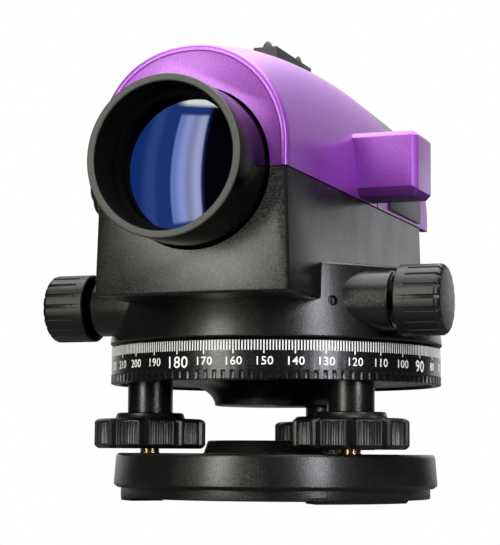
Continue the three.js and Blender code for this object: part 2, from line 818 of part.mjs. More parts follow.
function opticalSight() {
  const [y0, y1] = [-11.8, 22.6];
  const half = 4.1;
  const top = 145.8;
  const peak = top + 2.2;
  return prismAlongX([
    [y0, ridge(y0) + GAP],
    [y1, ridge(y1) + GAP],
    [y1, top],
    [y1 - 0.6, top],
    [y1 - 2.4, peak],
    [y1 - 4.6, top],
    [y0 + 3.2, top],
    [y0 + 1.6, peak],
    [y0 + 0.2, top],
    [y0, top - 0.4],
  ], -half, half);
}

function labelPlate() {
  const x = BODY_HALF + GAP;
  return block(x, x + 0.5, 31, 69, 97, 105.5);
}

function buildCovers() {
  piece("top_cover", topCover(), FINISH.purple);
  piece("rear_cover", rearCover(), FINISH.casting);
  piece("optical_sight", opticalSight(), FINISH.sight);
  piece("label_plate", labelPlate(), FINISH.label);
}

// ---- circular bubble in its box --------------------------------------------------------------------

function buildBubble() {
  const [x, y] = [38.6, 4.5];
  const floorZ = BOX.z0 + 2 + GAP;
  const vialZ = floorZ + 1.3;
  const vialR = 5.5;
  const cup = cut(post(7, floorZ, floorZ + 4.8, 28), post(vialR + GAP, floorZ + 1, floorZ + 6, 28));
  const vial = turned([
    [0, vialZ],
    [vialR, vialZ],
    [vialR, vialZ + 3.1],
    [vialR - 2, vialZ + 3.8],
    [0, vialZ + 4.1],
  ], 28);
  const mirror = block(-6.5, 6.5, -6.6, 6.6, 0, 1.2).rotate([45, 0, 0]).translate([x, 4, 109.4]);
  piece("vial_housing", cup.translate([x, y, 0]), FINISH.aluminium);
  piece("vial_glass", vial.translate([x, y, 0]), FINISH.clear);
  piece("vial_mirror", mirror, FINISH.mirror);
}

// ---- objective --------------------------------------------------------------------------------------

const LENS_STEPS = 3;

/** Rim-to-axis curve of a spherical face: rim radius, y at the rim and sagitta. */
function lensFace(radius, rimY, sagitta) {
  return Array.from({ length: LENS_STEPS + 1 }, (_, i) => {
    const r = radius * (1 - i / LENS_STEPS);
    return [r, rimY + sagitta * (1 - (r / radius) ** 2)];
  });
}

/** Lens about the optical axis; sagittas are measured along +Y. */
function lens(radius, y0, sag0, y1, sag1, segments = 32) {
  const front = lensFace(radius, y0, sag0).reverse();
  const back = lensFace(radius, y1, sag1);
  return turnedAlongY([...front, ...back], 0, AXIS_Z, segments);
}

function lensHood() {
  const seatR = LENS_R + GAP;
  const stopR = 16.8;
  const stopY = -65.5;
  const stepY = -80.5;
  const rearY = -61;
  return turnedAlongY([
    [HOOD_BORE_R, HOOD_FRONT + 0.3],
    [HOOD_BORE_R + 0.4, HOOD_FRONT],
    [HOOD_R - 0.4, HOOD_FRONT],
    [HOOD_R, HOOD_FRONT + 0.5],
    [HOOD_R, rearY],
    [stopR, rearY],
    [stopR, stopY],
    [seatR, stopY],
    [seatR, stepY],
    [HOOD_BORE_R, stepY],
    [HOOD_BORE_R, HOOD_FRONT + 0.3],
  ], 0, AXIS_Z, 56);
}

function buildObjective() {
  const retainer = tubeAlongY(LENS_R - 1.4, LENS_R, -80.2, -78.2, 0, AXIS_Z, 44);
  piece("lens_hood", lensHood(), FINISH.hood);
  piece("objective_retaining_ring", retainer, FINISH.plastic);
  piece("objective_doublet", lens(LENS_R, -77, -1.1, -67, 1), FINISH.glass);
}

// ---- focusing -----------------------------------------------------------------------------------------

const CARRIAGE_Y0 = -44;
const CARRIAGE_Y1 = -18;
const RACK_X0 = -17.5;
const RACK_X1 = -13.8;
const FOCUS_SHAFT_R = 2.3;
const FOCUS_KNOB_END = -52.5;
const FRAME_Y0 = 8;                      // front of the compensator frame
const PENDULUM_Y = 24;

/** Straight rack along Y whose middle gap is at y = centre. */
function rackOutline(centre, count, pitchZ) {
  const rootZ = pitchZ - 0.6;
  const tipZ = pitchZ + 0.42;
  const backZ = rootZ - 2;
  const end = 1;
  const tooth = [[-0.38, rootZ], [-0.16, tipZ], [0.16, tipZ], [0.38, rootZ]];
  const outline = [];
  for (let i = 0; i < count; i += 1) {
    const y = centre + (i - count / 2 + 0.5) * RACK_PITCH;
    tooth.forEach(([dy, z]) => outline.push([y + dy, z]));
  }
  const rearY = outline[outline.length - 1][0] + end;
  const frontY = outline[0][0] - end;
  outline.push([rearY, rootZ], [rearY, backZ], [frontY, backZ], [frontY, rootZ]);
  return outline;
}

function focusCarriage() {
  const barrelR = 12;
  const boreR = 10.4;
  const wingX = GUIDE_X + 3;
  const rackZ = FOCUS_Z - PINION_PITCH_R;
  const barrel = rodAlongY(barrelR, CARRIAGE_Y0, CARRIAGE_Y1, 0, AXIS_Z, 36);
  const wing = block(-wingX, wingX, CARRIAGE_Y0 + 4, CARRIAGE_Y1 - 6, GUIDE_Z - 3, GUIDE_Z + 3.5);
  const rack = prismAlongX(rackOutline(FOCUS_Y, 16, rackZ), RACK_X0, RACK_X1);
  const arm = block(RACK_X0, -9, CARRIAGE_Y1 - 10, CARRIAGE_Y1 - 1, rackZ - 5, rackZ - 2);
  const lightBore = rodAlongY(boreR, CARRIAGE_Y0 - OVERCUT, CARRIAGE_Y1 + OVERCUT, 0, AXIS_Z, 32);
  return cut(unite(barrel, wing, rack, arm), lightBore, ...guideHoles(CARRIAGE_Y0, CARRIAGE_Y1));
}

function focusShaft() {
  const rootR = PINION_PITCH_R - 0.65;
  const tipR = PINION_PITCH_R + 0.5;
  const tooth = [[-0.24, rootR], [-0.1, tipR], [0.1, tipR], [0.24, rootR]];
  const pinion = prismAlongX(toothed(PINION_TEETH, tooth, -Math.PI / 2), RACK_X0, RACK_X1)
    .translate([0, FOCUS_Y, FOCUS_Z]);
  return unite(pinion, rodAlongX(FOCUS_SHAFT_R, FOCUS_KNOB_END + 2, RACK_X1 + 0.8, FOCUS_Y, FOCUS_Z, 20));
}

function focusKnob() {
  const inner = -36.5;
  const outer = FOCUS_KNOB_END;
  const radius = 16.5;
  const edge = 1;
  const lobe = [[0, radius - 1.2], [0.3, radius], [0.7, radius]];
  const grip = prismAlongX(toothed(20, lobe), outer + edge, inner).translate([0, FOCUS_Y, FOCUS_Z]);
  const capProfile = [[0, outer], [radius - 3, outer], [radius - 1.3, outer + edge], [0, outer + edge]];
  const cap = turnedAlongX(capProfile, FOCUS_Y, FOCUS_Z, 36);
  const bore = rodAlongX(FOCUS_SHAFT_R + GAP, outer + 1.5, inner + OVERCUT, FOCUS_Y, FOCUS_Z, 20);
  return cut(unite(grip, cap), bore);
}

function focusBush() {
  const boreR = FOCUS_SHAFT_R + GAP;
  const outerR = BUSH_SOCKET_R - GAP;
  const [x0, x1] = [-34.5, -25];
  const profile = [[boreR, x0], [outerR, x0], [outerR, x1], [boreR, x1], [boreR, x0]];
  return turnedAlongX(profile, FOCUS_Y, FOCUS_Z, 24);
}

function buildFocusing() {
  piece("focus_carriage", focusCarriage(), FINISH.aluminium);
  piece("focusing_lens", lens(10.1, -38, 1.2, -34, -1, 28), FINISH.glass);
  [-1, 1].forEach((side, k) => {
    const rod = rodAlongY(GUIDE_R, WEB_FRONT + 0.5, FRAME_Y0 + 2, side * GUIDE_X, GUIDE_Z, 16);
    piece(`focus_guide_rod_${k + 1}`, rod, FINISH.steel);
  });
  piece("focus_shaft", focusShaft(), FINISH.steel);
  piece("focus_bush", focusBush(), FINISH.brass);
  piece("focus_knob", focusKnob(), FINISH.knob);
}

// ---- compensator ----------------------------------------------------------------------------------------

function compensatorFrame() {
  const [y0, y1] = [FRAME_Y0, 43];
  const wall = 3;
  const half = 16;
  const floorZ = DRUM_TOP + 1.5;
  const top = 118;
  const foot = block(-half - 2, half + 2, y0, y1, floorZ, floorZ + 2.7);
  const cheeks = [y0, y1 - wall].map((y) => block(-half, half, y, y + wall, floorZ + 1.7, top));
  const bridge = block(-half, half, y0, y1, top - wall, top);
  const lightHole = rodAlongY(10, y0 - OVERCUT, y1 + OVERCUT, 0, AXIS_Z, 28);
  return cut(unite(foot, ...cheeks, bridge), lightHole, ...guideHoles(y0 - OVERCUT, y0 + wall + OVERCUT));
}

/** Tray for the prism, hung on four wires from the frame's bridge. */
function pendulum() {
  const [y0, y1] = [13, 35];
  const legX = 7;
  const trayZ = 84;
  const legTop = 100;
  const wireTop = 114.6;
  const wireR = 0.35;
  const tray = block(-9, 9, y0, y1, trayZ, trayZ + 3);
  const legs = [-legX, legX].map((x) => block(x - 1.5, x + 1.5, y0, y1, trayZ + 2, legTop));
  const wires = [-legX, legX].flatMap((x) => [y0 + 4, y1 - 4].map((y) => (
    post(wireR, legTop - 1, wireTop, 8).translate([x, y, 0])
  )));
  const damper = block(-2, 2, PENDULUM_Y - 2, PENDULUM_Y + 2, trayZ - 4, trayZ + 1);
  return unite(tray, ...legs, ...wires, damper);
}

function pendulumPrism() {
  const bottom = 87.4;
  const top = 101;
  const outline = [[PENDULUM_Y - 10, bottom], [PENDULUM_Y + 10, bottom], [PENDULUM_Y, top]];
  return prismAlongX(outline, -5, 5);
}

function damperMagnet() {
  const bottom = 76.3;
  const yoke = block(-5, 5, PENDULUM_Y - 4, PENDULUM_Y + 4, bottom, bottom + 6.7);
  const slot = block(-2.8, 2.8, PENDULUM_Y - 6, PENDULUM_Y + 6, bottom + 2.7, bottom + 8);
  return cut(yoke, slot);
}

function buildCompensator() {
  piece("compensator_frame", compensatorFrame(), FINISH.aluminium);
  piece("pendulum", pendulum(), FINISH.brass);
  piece("pendulum_prism", pendulumPrism(), FINISH.clear);
  piece("damper_magnet", damperMagnet(), FINISH.steel);
}

// ---- eyepiece -------------------------------------------------------------------------------------------

const SLEEVE_END = 103;
const CELL_R = 9.4;

function eyepieceRing() {
  const [front, rear] = [97.5, 107.5];
  const rimR = 15.4;
  const grip = toothed(24, [[0, rimR - 0.8], [0.3, rimR], [0.7, rimR]]);
  const blank = prismAlongX(grip, front, rear).rotate([0, 0, 90]).translate([0, 0, AXIS_Z]);
  const sleeveBore = rodAlongY(11.8, front - OVERCUT, SLEEVE_END + 1, 0, AXIS_Z, 32);
  const sightHole = rodAlongY(10.2, front - OVERCUT, rear + OVERCUT, 0, AXIS_Z, 28);
  return cut(blank, sleeveBore, sightHole);
}

function eyecup() {
  const boreR = 9;
  const front = 107.8;
  return turnedAlongY([
    [boreR, front],
    [14, front],
    [14.6, EYECUP_END - 0.4],
    [13.4, EYECUP_END],
    [10.5, EYECUP_END - 2.8],
    [boreR, front + 1.2],
    [boreR, front],
  ], 0, AXIS_Z, 32);
}

function buildEyepiece() {
  const sleeve = tubeAlongY(CELL_R + GAP, 11.4, 76, SLEEVE_END, 0, AXIS_Z, 32);
  const cell = cut(rodAlongY(CELL_R, 86, 105, 0, AXIS_Z, 32), rodAlongY(7.6, 80, 110, 0, AXIS_Z, 28));
  piece("eyepiece_sleeve", sleeve, FINISH.aluminium);
  piece("reticle_glass", rodAlongY(6.2, 79, 80.5, 0, AXIS_Z, 28), FINISH.clear);
  piece("reticle_ring", tubeAlongY(6.5, CELL_R, 78, 81.5, 0, AXIS_Z, 28), FINISH.brass);
  piece("eyepiece_cell", cell, FINISH.brass);
  piece("eyepiece_lens", lens(7.3, 98, -1, 101.5, 1, 24), FINISH.clear);
  piece("eyepiece_ring", eyepieceRing(), FINISH.plastic);
  piece("eyecup", eyecup(), FINISH.rubber);
}

buildBase();
buildFootScrews();
buildAxisStack();
buildCasting();
buildTangentDrive();
buildCovers();
buildBubble();
buildObjective();
buildFocusing();
buildCompensator();
buildEyepiece();

export default group;
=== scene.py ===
"""Looks of the automatic level: fine meshes, procedural finishes, studio light and camera.

Shapes are written in millimetres with the vertical axis at x = y = 0 and scaled to metres when a
mesh is made; fit() moves a finished mesh to where that axis stands in the row frame.
"""

import math

import bmesh
import bpy
from mathutils import Matrix, Vector


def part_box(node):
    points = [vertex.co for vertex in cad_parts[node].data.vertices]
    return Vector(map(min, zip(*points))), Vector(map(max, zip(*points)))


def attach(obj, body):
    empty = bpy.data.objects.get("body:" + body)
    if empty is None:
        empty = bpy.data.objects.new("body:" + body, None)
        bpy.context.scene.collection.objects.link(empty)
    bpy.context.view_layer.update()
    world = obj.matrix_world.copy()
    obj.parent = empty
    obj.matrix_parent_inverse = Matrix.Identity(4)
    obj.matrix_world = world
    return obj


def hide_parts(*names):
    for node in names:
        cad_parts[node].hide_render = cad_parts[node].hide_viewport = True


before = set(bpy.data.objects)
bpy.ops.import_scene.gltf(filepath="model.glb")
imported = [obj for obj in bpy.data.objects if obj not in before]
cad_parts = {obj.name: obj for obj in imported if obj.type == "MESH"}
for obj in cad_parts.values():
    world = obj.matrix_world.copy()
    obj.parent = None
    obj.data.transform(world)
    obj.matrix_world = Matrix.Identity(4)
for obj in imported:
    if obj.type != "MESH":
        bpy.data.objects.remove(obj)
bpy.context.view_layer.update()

MM = 0.001
TAU = 2 * math.pi
# Vertices nearer to each other than this become one, in metres.
WELD = 1e-7
# Edges where two faces turn by more than this many degrees stay sharp.
SHARP = 32
# Where the vertical axis stands in the row frame: the middle of the horizontal circle.
AXIS_PLACE = Vector((0, sum(corner.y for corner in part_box("horizontal_circle")) / 2, 0))


def cad_box(node):
    """Lowest and highest corner of a CAD node, in millimetres from the vertical axis."""
    low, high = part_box(node)
    return (low - AXIS_PLACE) / MM, (high - AXIS_PLACE) / MM


# ---- mesh helpers ----------------------------------------------------


def make(name, verts, faces, sharp=SHARP):
    """Object from millimetre vertices, with outward normals."""
    mesh = bpy.data.meshes.new(name)
    mesh.from_pydata([Vector(v) * MM for v in verts], [], faces)
    work = bmesh.new()
    work.from_mesh(mesh)
    bmesh.ops.remove_doubles(work, verts=work.verts, dist=WELD)
    bmesh.ops.recalc_face_normals(work, faces=work.faces)
    work.to_mesh(mesh)
    work.free()
    thing = bpy.data.objects.new(name, mesh)
    bpy.context.scene.collection.objects.link(thing)
    shade(thing, sharp)
    return thing


def shade(thing, sharp=SHARP):
    """Smooth shading, broken at the sharp edges."""
    mesh = thing.data
    mesh.polygons.foreach_set("use_smooth", [True] * len(mesh.polygons))
    mesh.set_sharp_from_angle(angle=math.radians(sharp))


# Point from radius, height and angle around each axis.
PLACES = {
    "X": lambda r, h, a: (h, r * math.cos(a), r * math.sin(a)),
    "Y": lambda r, h, a: (r * math.cos(a), h, r * math.sin(a)),
    "Z": lambda r, h, a: (r * math.cos(a), r * math.sin(a), h),
}


def turned(name, rows, axis="Z", at=(0, 0, 0), count=160, loop=False, sharp=SHARP):
    """Solid around an axis from (radius, height) rows; a radius may be a function of the angle.

    The first and the last row are closed with flat ends or, in a loop, joined to each other.
    """
    place = PLACES[axis]
    verts = []
    for radius, height in rows:
        for i in range(count):
            angle = TAU * i / count
            r = radius(angle) if callable(radius) else radius
            x, y, z = place(r, height, angle)
            verts.append((x + at[0], y + at[1], z + at[2]))
    faces = []
    pairs = len(rows) if loop else len(rows) - 1
    for row in range(pairs):
        a, b = row * count, ((row + 1) % len(rows)) * count
        for i in range(count):
            j = (i + 1) % count
            faces.append((a + i, a + j, b + j, b + i))
    if not loop:
        faces.append(tuple(range(count)))
        faces.append(tuple(range((len(rows) - 1) * count, len(rows) * count)))
    return make(name, verts, faces, sharp)


def soften(points, radius=0.4, steps=4, loop=False):
    """Polyline with its corners rounded; a point may carry its own radius as a third value."""
    most = 0.45  # of a side's length that one corner may take
    out = []
    n = len(points)
    for i, point in enumerate(points):
        here = Vector(point[:2])
        bend = point[2] if len(point) > 2 else radius
        if (not loop and i in (0, n - 1)) or bend == 0:
            out.append(tuple(here))
            continue
        before = Vector(points[i - 1][:2]) - here
        after = Vector(points[(i + 1) % n][:2]) - here
        reach = min(bend, before.length * most, after.length * most)
        start, end = here + before.normalized() * reach, here + after.normalized() * reach
        for k in range(steps + 1):
            t = k / steps
            out.append(tuple((1 - t) ** 2 * start + 2 * t * (1 - t) * here + t * t * end))
    return out


def skin(name, rings):
    """Closed solid through rings that have the same number of points."""
    count = len(rings[0])
    verts = [p for ring in rings for p in ring]
    faces = [tuple(range(count)), tuple(range((len(rings) - 1) * count, len(rings) * count))]
    for row in range(len(rings) - 1):
        a, b = row * count, (row + 1) * count
        for i in range(count):
            j = (i + 1) % count
            faces.append((a + i, a + j, b + j, b + i))
    return make(name, verts, faces)


def prism(name, outline, x0, x1):
    """Outline of (y, z) points extruded along X."""
    return skin(name, [[(x, y, z) for y, z in outline] for x in (x0, x1)])


def bevel(thing, width, segments=3, angle=30):
    """Rounds the edges that turn by more than angle (degrees)."""
    work = bmesh.new()
    work.from_mesh(thing.data)
    turn = math.radians(angle)
    edges = [e for e in work.edges if len(e.link_faces) == 2 and e.calc_face_angle() > turn]
    bmesh.ops.bevel(work, geom=edges, offset=width * MM, segments=segments, profile=0.5,
                    affect="EDGES", clamp_overlap=True)
    work.to_mesh(thing.data)
    work.free()
    shade(thing)
    return thing


def block(name, low, high, width=0.5, segments=3):
    """Box with rounded edges between two corners."""
    (x0, y0, z0), (x1, y1, z1) = low, high
    ring = [(x0, y0), (x1, y0), (x1, y1), (x0, y1)]
    thing = skin(name, [[(x, y, z) for x, y in ring] for z in (z0, z1)])
    return bevel(thing, width, segments) if width else thing


def bake(thing):
    """Applies the modifiers."""
    bpy.context.view_layer.update()
    graph = bpy.context.evaluated_depsgraph_get()
    mesh = bpy.data.meshes.new_from_object(thing.evaluated_get(graph))
    thing.modifiers.clear()
    thing.data = mesh
    return thing


def combine(thing, operation, others):
    """Boolean with other objects, which are used up."""
    for other in others:
        step = thing.modifiers.new("step", "BOOLEAN")
        step.operation = operation
        step.solver = "EXACT"
        step.object = other
        bake(thing)
        bpy.data.objects.remove(other)
    shade(thing)
    return thing


def cut(thing, *others):
    return combine(thing, "DIFFERENCE", others)


def join(thing, *others):
    return combine(thing, "UNION", others)


def keep(thing, other):
    return combine(thing, "INTERSECT", [other])


def duplicate(thing, name):
    twin = thing.copy()
    twin.data = thing.data.copy()
    twin.name = name
    bpy.context.scene.collection.objects.link(twin)
    return twin


def move(thing, x=0, y=0, z=0, turn=0, axis="Z"):
    """Turns (degrees) about a frame axis and moves (millimetres) the mesh itself."""
    place = Matrix.Translation(Vector((x, y, z)) * MM)
    thing.data.transform(place @ Matrix.Rotation(math.radians(turn), 4, axis))
    return thing


def merge(name, things):
    """One object from separate closed meshes."""
    work = bmesh.new()
    for thing in things:
        work.from_mesh(thing.data)
        bpy.data.objects.remove(thing)
    mesh = bpy.data.meshes.new(name)
    work.to_mesh(mesh)
    work.free()
    whole = bpy.data.objects.new(name, mesh)
    bpy.context.scene.collection.objects.link(whole)
    shade(whole)
    return whole


def fit(thing, body, material, *nodes, slot=None):
    """Gives a finished piece its material and its body, and hides the CAD nodes that it stands for."""
    thing.data.materials.clear()
    thing.data.materials.append(material)
    thing.data.transform(Matrix.Translation(AXIS_PLACE))
    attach(thing, body)
    if nodes:
        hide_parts(*nodes)


def direction(azimuth, elevation):
    """Unit vector; azimuth 0 is -Y and grows towards +X."""
    a, e = math.radians(azimuth), math.radians(elevation)
    return Vector((math.sin(a) * math.cos(e), -math.cos(a) * math.cos(e), math.sin(e)))


# ---- material helpers ------------------------------------------------


def colour(r, g, b):
    return (r, g, b, 1.0)


class Graph:
    """Short way to write the shader node tree of a material or a world."""

    def __init__(self, owner, space="Object"):
        owner.use_nodes = True
        self.owner = owner
        self.tree = owner.node_tree
        self.tree.nodes.clear()
        self.coords = self.add("ShaderNodeTexCoord").outputs[space]

    def add(self, kind, inputs=None, **settings):
        node = self.tree.nodes.new(kind)
        for key, value in settings.items():
            setattr(node, key, value)
        for key, value in (inputs or {}).items():
            self.put(node.inputs[key], value)
        return node

    def put(self, socket, value):
        if isinstance(value, bpy.types.NodeSocket):
            self.tree.links.new(value, socket)
        else:
            socket.default_value = value

    def noise(self, size_mm, detail=2, roughness=0.5, stretch=(1, 1, 1)):
        """Noise between about 0 and 1 whose features are size_mm across."""
        mapping = self.add("ShaderNodeMapping", {"Vector": self.coords, "Scale": stretch})
        scale = 1 / (size_mm * MM)
        node = self.add("ShaderNodeTexNoise", {
            "Vector": mapping.outputs[0], "Scale": scale, "Detail": detail, "Roughness": roughness})
        return node.outputs["Fac"]

    def cells(self, size_mm):
        """Distance to the nearest cell centre, for cells size_mm across."""
        node = self.add("ShaderNodeTexVoronoi", {"Vector": self.coords, "Scale": 1 / (size_mm * MM)})
        return node.outputs["Distance"]

    def ramp(self, value, low, high, from_low=0.0, from_high=1.0, kind="LINEAR"):
        """low to high while value goes from from_low to from_high, and held beyond."""
        node = self.add("ShaderNodeMapRange", {
            "Value": value, "From Min": from_low, "From Max": from_high, "To Min": low, "To Max": high,
        }, interpolation_type=kind)
        return node.outputs["Result"]

    def math(self, operation, a, b=0.0, clamp=False):
        return self.add("ShaderNodeMath", {0: a, 1: b}, operation=operation, use_clamp=clamp).outputs[0]

    def product(self, first, *others):
        for other in others:
            first = self.math("MULTIPLY", first, other)
        return first

    def mix(self, share, a, b):
        """Colour a, or b where share is 1; the colour sockets of this node are 6, 7 and output 2."""
        return self.add("ShaderNodeMix", {0: share, 6: a, 7: b}, data_type="RGBA").outputs[2]

    def toned(self, base, value):
        """Colour with its brightness multiplied."""
        return self.add("ShaderNodeHueSaturation", {"Color": base, "Value": value}).outputs[0]

    def split(self, vector):
        return self.add("ShaderNodeSeparateXYZ", {"Vector": vector}).outputs

    def normal(self):
        return self.add("ShaderNodeNewGeometry").outputs["Normal"]

    def vector(self, operation, a, b=(0, 0, 0)):
        return self.add("ShaderNodeVectorMath", {0: a, 1: b}, operation=operation).outputs

    def bump(self, height, distance_mm, strength=1.0, normal=None):
        inputs = {"Height": height, "Distance": distance_mm * MM, "Strength": strength}
        if normal is not None:
            inputs["Normal"] = normal
        return self.add("ShaderNodeBump", inputs).outputs[0]

    def edges(self, radius_mm, full=3.0):
        """Mask for convex and concave edges: 0 on plain faces, 1 where the rounded normal is full away."""
        rounded = self.add("ShaderNodeBevel", {"Radius": radius_mm * MM}, samples=6).outputs[0]
        likeness = self.vector("DOT_PRODUCT", rounded, self.normal())["Value"]
        return self.ramp(self.math("SUBTRACT", 1.0, likeness), 0.0, 1.0, 0.0, full)

    def crowned(self, degrees):
        """Normal of a wall that bulges a little: it leans outwards by degrees at 30 mm from x = 0."""
        per_metre = math.radians(degrees) / (30 * MM)
        lean = self.vector("MULTIPLY", self.coords, (per_metre, 0, 0))[0]
        return self.vector("NORMALIZE", self.vector("ADD", self.normal(), lean)[0])[0]

    def principled(self, **inputs):
        """Material with one Principled shader; an input's name has underscores for its spaces."""
        sockets = {key.replace("_", " "): value for key, value in inputs.items()}
        shader = self.add("ShaderNodeBsdfPrincipled", sockets)
        self.add("ShaderNodeOutputMaterial", {"Surface": shader.outputs[0]})
        return self.owner

    def output(self, kind, to_camera, to_part):
        """Output that shows one shader to the camera and the other to the rest of the scene."""
        path = self.add("ShaderNodeLightPath").outputs["Is Camera Ray"]
        mixed = self.add("ShaderNodeMixShader", {0: path, 1: to_part, 2: to_camera})
        self.add(kind, {"Surface": mixed.outputs[0]})


def new_graph(name):
    return Graph(bpy.data.materials.new(name))


def powder_coat(name, base, rough, grain_mm, depth_mm, flecks_and_sheen=0.0, edge_paling=0.0, calm=0.0,
                shine=0.5, pale=colour(0.05, 0.05, 0.045), crown=0.0):
    """Painted casting: fine grain, slow changes of tone, and paler edges of rubbed paint with a painted edge
    highlight.

    Pale grains fall on faces turned to the front, more of them towards +X: real grain that also paints the
    sheen of the front light there. Calm fades the grain and the pale grains on faces turned to +X or -X.
    Crown shades the walls as if they bulged.
    """
    # Pale edge colour: rubbed paint and a painted highlight along the edges.
    rubbed_and_glinting_paint = colour(0.2, 0.2, 0.19)
    g = new_graph(name)
    grain = g.noise(grain_mm, 1.5, 0.6)
    pits = g.cells(grain_mm * 1.3)
    slow = g.noise(14, 3, 0.55)
    facing = g.split(g.normal())
    grainy = g.ramp(g.math("ABSOLUTE", facing["X"]), 1.0, 1.0 - calm, 0.93, 0.985)
    # Pale grains only on faces turned to the front and more of them towards +X: real grain that also paints
    # the sheen of the front light.
    front = g.ramp(facing["Y"], 1.0, 0.1, -0.995, -0.95)
    right = g.ramp(g.split(g.coords)["X"], 0.3, 1.0, -30 * MM, 15 * MM)
    speckle = g.ramp(g.noise(grain_mm * 0.75, 1, 0.5), 0.0, flecks_and_sheen, 0.42, 0.66)
    paint = g.toned(base, g.ramp(slow, 0.8, 1.2))
    paint = g.mix(g.product(speckle, grainy, front, right), paint, pale)
    # Paler edges: rubbed paint together with a painted highlight along the edges.
    rubbed_and_glinting = g.ramp(g.noise(2, 4, 0.7), 0.2 * edge_paling, edge_paling, 0.35, 0.65)
    paint = g.mix(g.math("MULTIPLY", g.edges(0.35, 0.8), rubbed_and_glinting, clamp=True), paint, rubbed_and_glinting_paint)
    height = g.math("ADD", grain, g.math("MULTIPLY", pits, 0.6))
    roughness = g.ramp(g.math("ADD", grain, slow), rough - 0.06, rough + 0.08, 0.6, 1.4)
    return g.principled(Base_Color=paint, Roughness=roughness, Specular_IOR_Level=shine,
                        Normal=g.bump(height, depth_mm, grainy, g.crowned(crown)))


def moulded(name, base, rough, grain_mm=0.35, depth_mm=0.01, edge_paling=0.25, shine=0.5):
    """Moulded plastic: soft grain, faint scuffs and slightly paler edges."""
    g = new_graph(name)
    grain = g.noise(grain_mm, 2, 0.6)
    scuff = g.noise(1.6, 6, 0.75, (1, 1, 3))
    tone = g.toned(base, g.ramp(g.noise(9, 2), 0.8, 1.2))
    pale = colour(*(min(1.0, part * 2.2 + 0.03) for part in base[:3]))
    tone = g.mix(g.math("MULTIPLY", g.edges(0.3), edge_paling, clamp=True), tone, pale)
    roughness = g.ramp(scuff, rough - 0.07, rough + 0.1, 0.3, 0.7)
    return g.principled(Base_Color=tone, Roughness=roughness, Normal=g.bump(grain, depth_mm),
                        Specular_IOR_Level=shine)


def pearl(name):
    """Purple flake paint under a satin coat; grain and bright flakes show only on faces turned to the front,
    where the flakes paint the glints of the front light.
    """
    purple, light_purple = colour(0.225, 0.032, 0.345), colour(0.25, 0.038, 0.385)
    flake = colour(0.75, 0.45, 0.98)
    g = new_graph(name)
    grain = g.noise(0.24, 1, 0.55)
    base = g.mix(g.ramp(g.noise(20, 2), 0.2, 0.8), purple, light_purple)
    # Bright flakes only on front faces: painted glints where the front light falls.
    front = g.ramp(g.split(g.normal())["Y"], 1.0, 0.12, -0.95, -0.6)
    flakes_and_front_glint = g.math("MULTIPLY", g.ramp(g.noise(0.2, 0), 0.0, 0.2, 0.56, 0.72), front)
    roughness = g.ramp(grain, 0.38, 0.5, 0.3, 0.7)
    return g.principled(Base_Color=g.mix(flakes_and_front_glint, base, flake), Metallic=0.5, Roughness=roughness,
                        Normal=g.bump(grain, 0.01, front), Coat_Weight=0.6, Coat_Roughness=0.3)


def metal(name, base, rough, line_mm=0.2):
    """Machined metal: fine uneven lines and small changes of tone."""
    g = new_graph(name)
    lines = g.noise(line_mm, 3, 0.6)
    tone = g.toned(base, g.ramp(g.noise(4, 3), 0.8, 1.15))
    roughness = g.ramp(lines, rough - 0.08, rough + 0.12, 0.3, 0.7)
    return g.principled(Base_Color=tone, Metallic=1.0, Roughness=roughness, Normal=g.bump(lines, 0.006))


def coated_lens(name):
    """Objective glass: black within, with painted reflections that glow as emission:
    a blue coat, a tall window and a bright ceiling.

    The glow is painted by the direction that a spot mirrors; angles are in degrees, azimuth 0 is -Y.
    """
    window_left, window_right = -32, -17.5
    black, deep_blue, blue = colour(0.0, 0.0, 0.001), colour(0.0, 0.022, 0.125), colour(0.012, 0.03, 0.16)
    ghost_blue, ceiling_grey = colour(0.10, 0.17, 0.45), colour(0.62, 0.66, 0.66)
    pane_left, pane_right = colour(0.15, 0.21, 0.56), colour(0.30, 0.32, 0.50)
    streaks_per_radian = 50.0
    g = new_graph(name)
    x, y, z = g.split(g.add("ShaderNodeTexCoord").outputs["Reflection"])
    azimuth = g.math("ARCTAN2", x, g.math("MULTIPLY", y, -1.0))
    elevation = g.math("ARCSINE", z)

    def across(low, high):
        """0 to 1 from one azimuth to the other."""
        return g.ramp(azimuth, 0.0, 1.0, math.radians(low), math.radians(high))

    def between(value, low, high, soft):
        """1 where value lies between two angles, with edges soft degrees wide on either side."""
        low, high, soft = math.radians(low), math.radians(high), math.radians(soft)
        rise = g.ramp(value, 0.0, 1.0, low - soft, low + soft)
        fall = g.ramp(value, 1.0, 0.0, high - soft, high + soft)
        return g.math("MULTIPLY", rise, fall)

    painted_glow = g.mix(across(-60, -38), deep_blue, blue)
    painted_glow = g.mix(between(azimuth, -85, -17, 1.5), black, painted_glow)
    painted_glow = g.mix(g.math("MULTIPLY", between(azimuth, -46, -40, 1.5), 0.14), painted_glow, ghost_blue)
    streak = g.ramp(g.math("SINE", g.math("MULTIPLY", azimuth, streaks_per_radian)), 0.8, 1.1, -1.0, 1.0)
    pane = g.toned(g.mix(across(window_left, -18), pane_left, pane_right), streak)
    window = g.product(between(azimuth, window_left, window_right, 0.5), between(elevation, -12.5, 31, 0.6))
    painted_glow = g.mix(window, painted_glow, pane)
    ceiling = g.product(between(azimuth, -34, 0, 3), between(elevation, 35, 80, 0.8))
    painted_glow = g.mix(ceiling, painted_glow, ceiling_grey)
    dust = g.ramp(g.noise(0.5, 3, 0.7), 0.01, 0.04, 0.4, 0.8)
    # The glass shows its painted reflections as emission.
    return g.principled(Base_Color=colour(0.001, 0.001, 0.002), Roughness=dust, IOR=1.12,
                        Specular_IOR_Level=0.0, Emission_Color=painted_glow, Emission_Strength=1.0)


def clear_glass(name, tint):
    """Uncoated glass with a little dust."""
    g = new_graph(name)
    dust = g.ramp(g.noise(0.8, 3, 0.7), 0.0, 0.05, 0.4, 0.8)
    return g.principled(Base_Color=tint, Roughness=dust, Transmission_Weight=0.9, IOR=1.5)


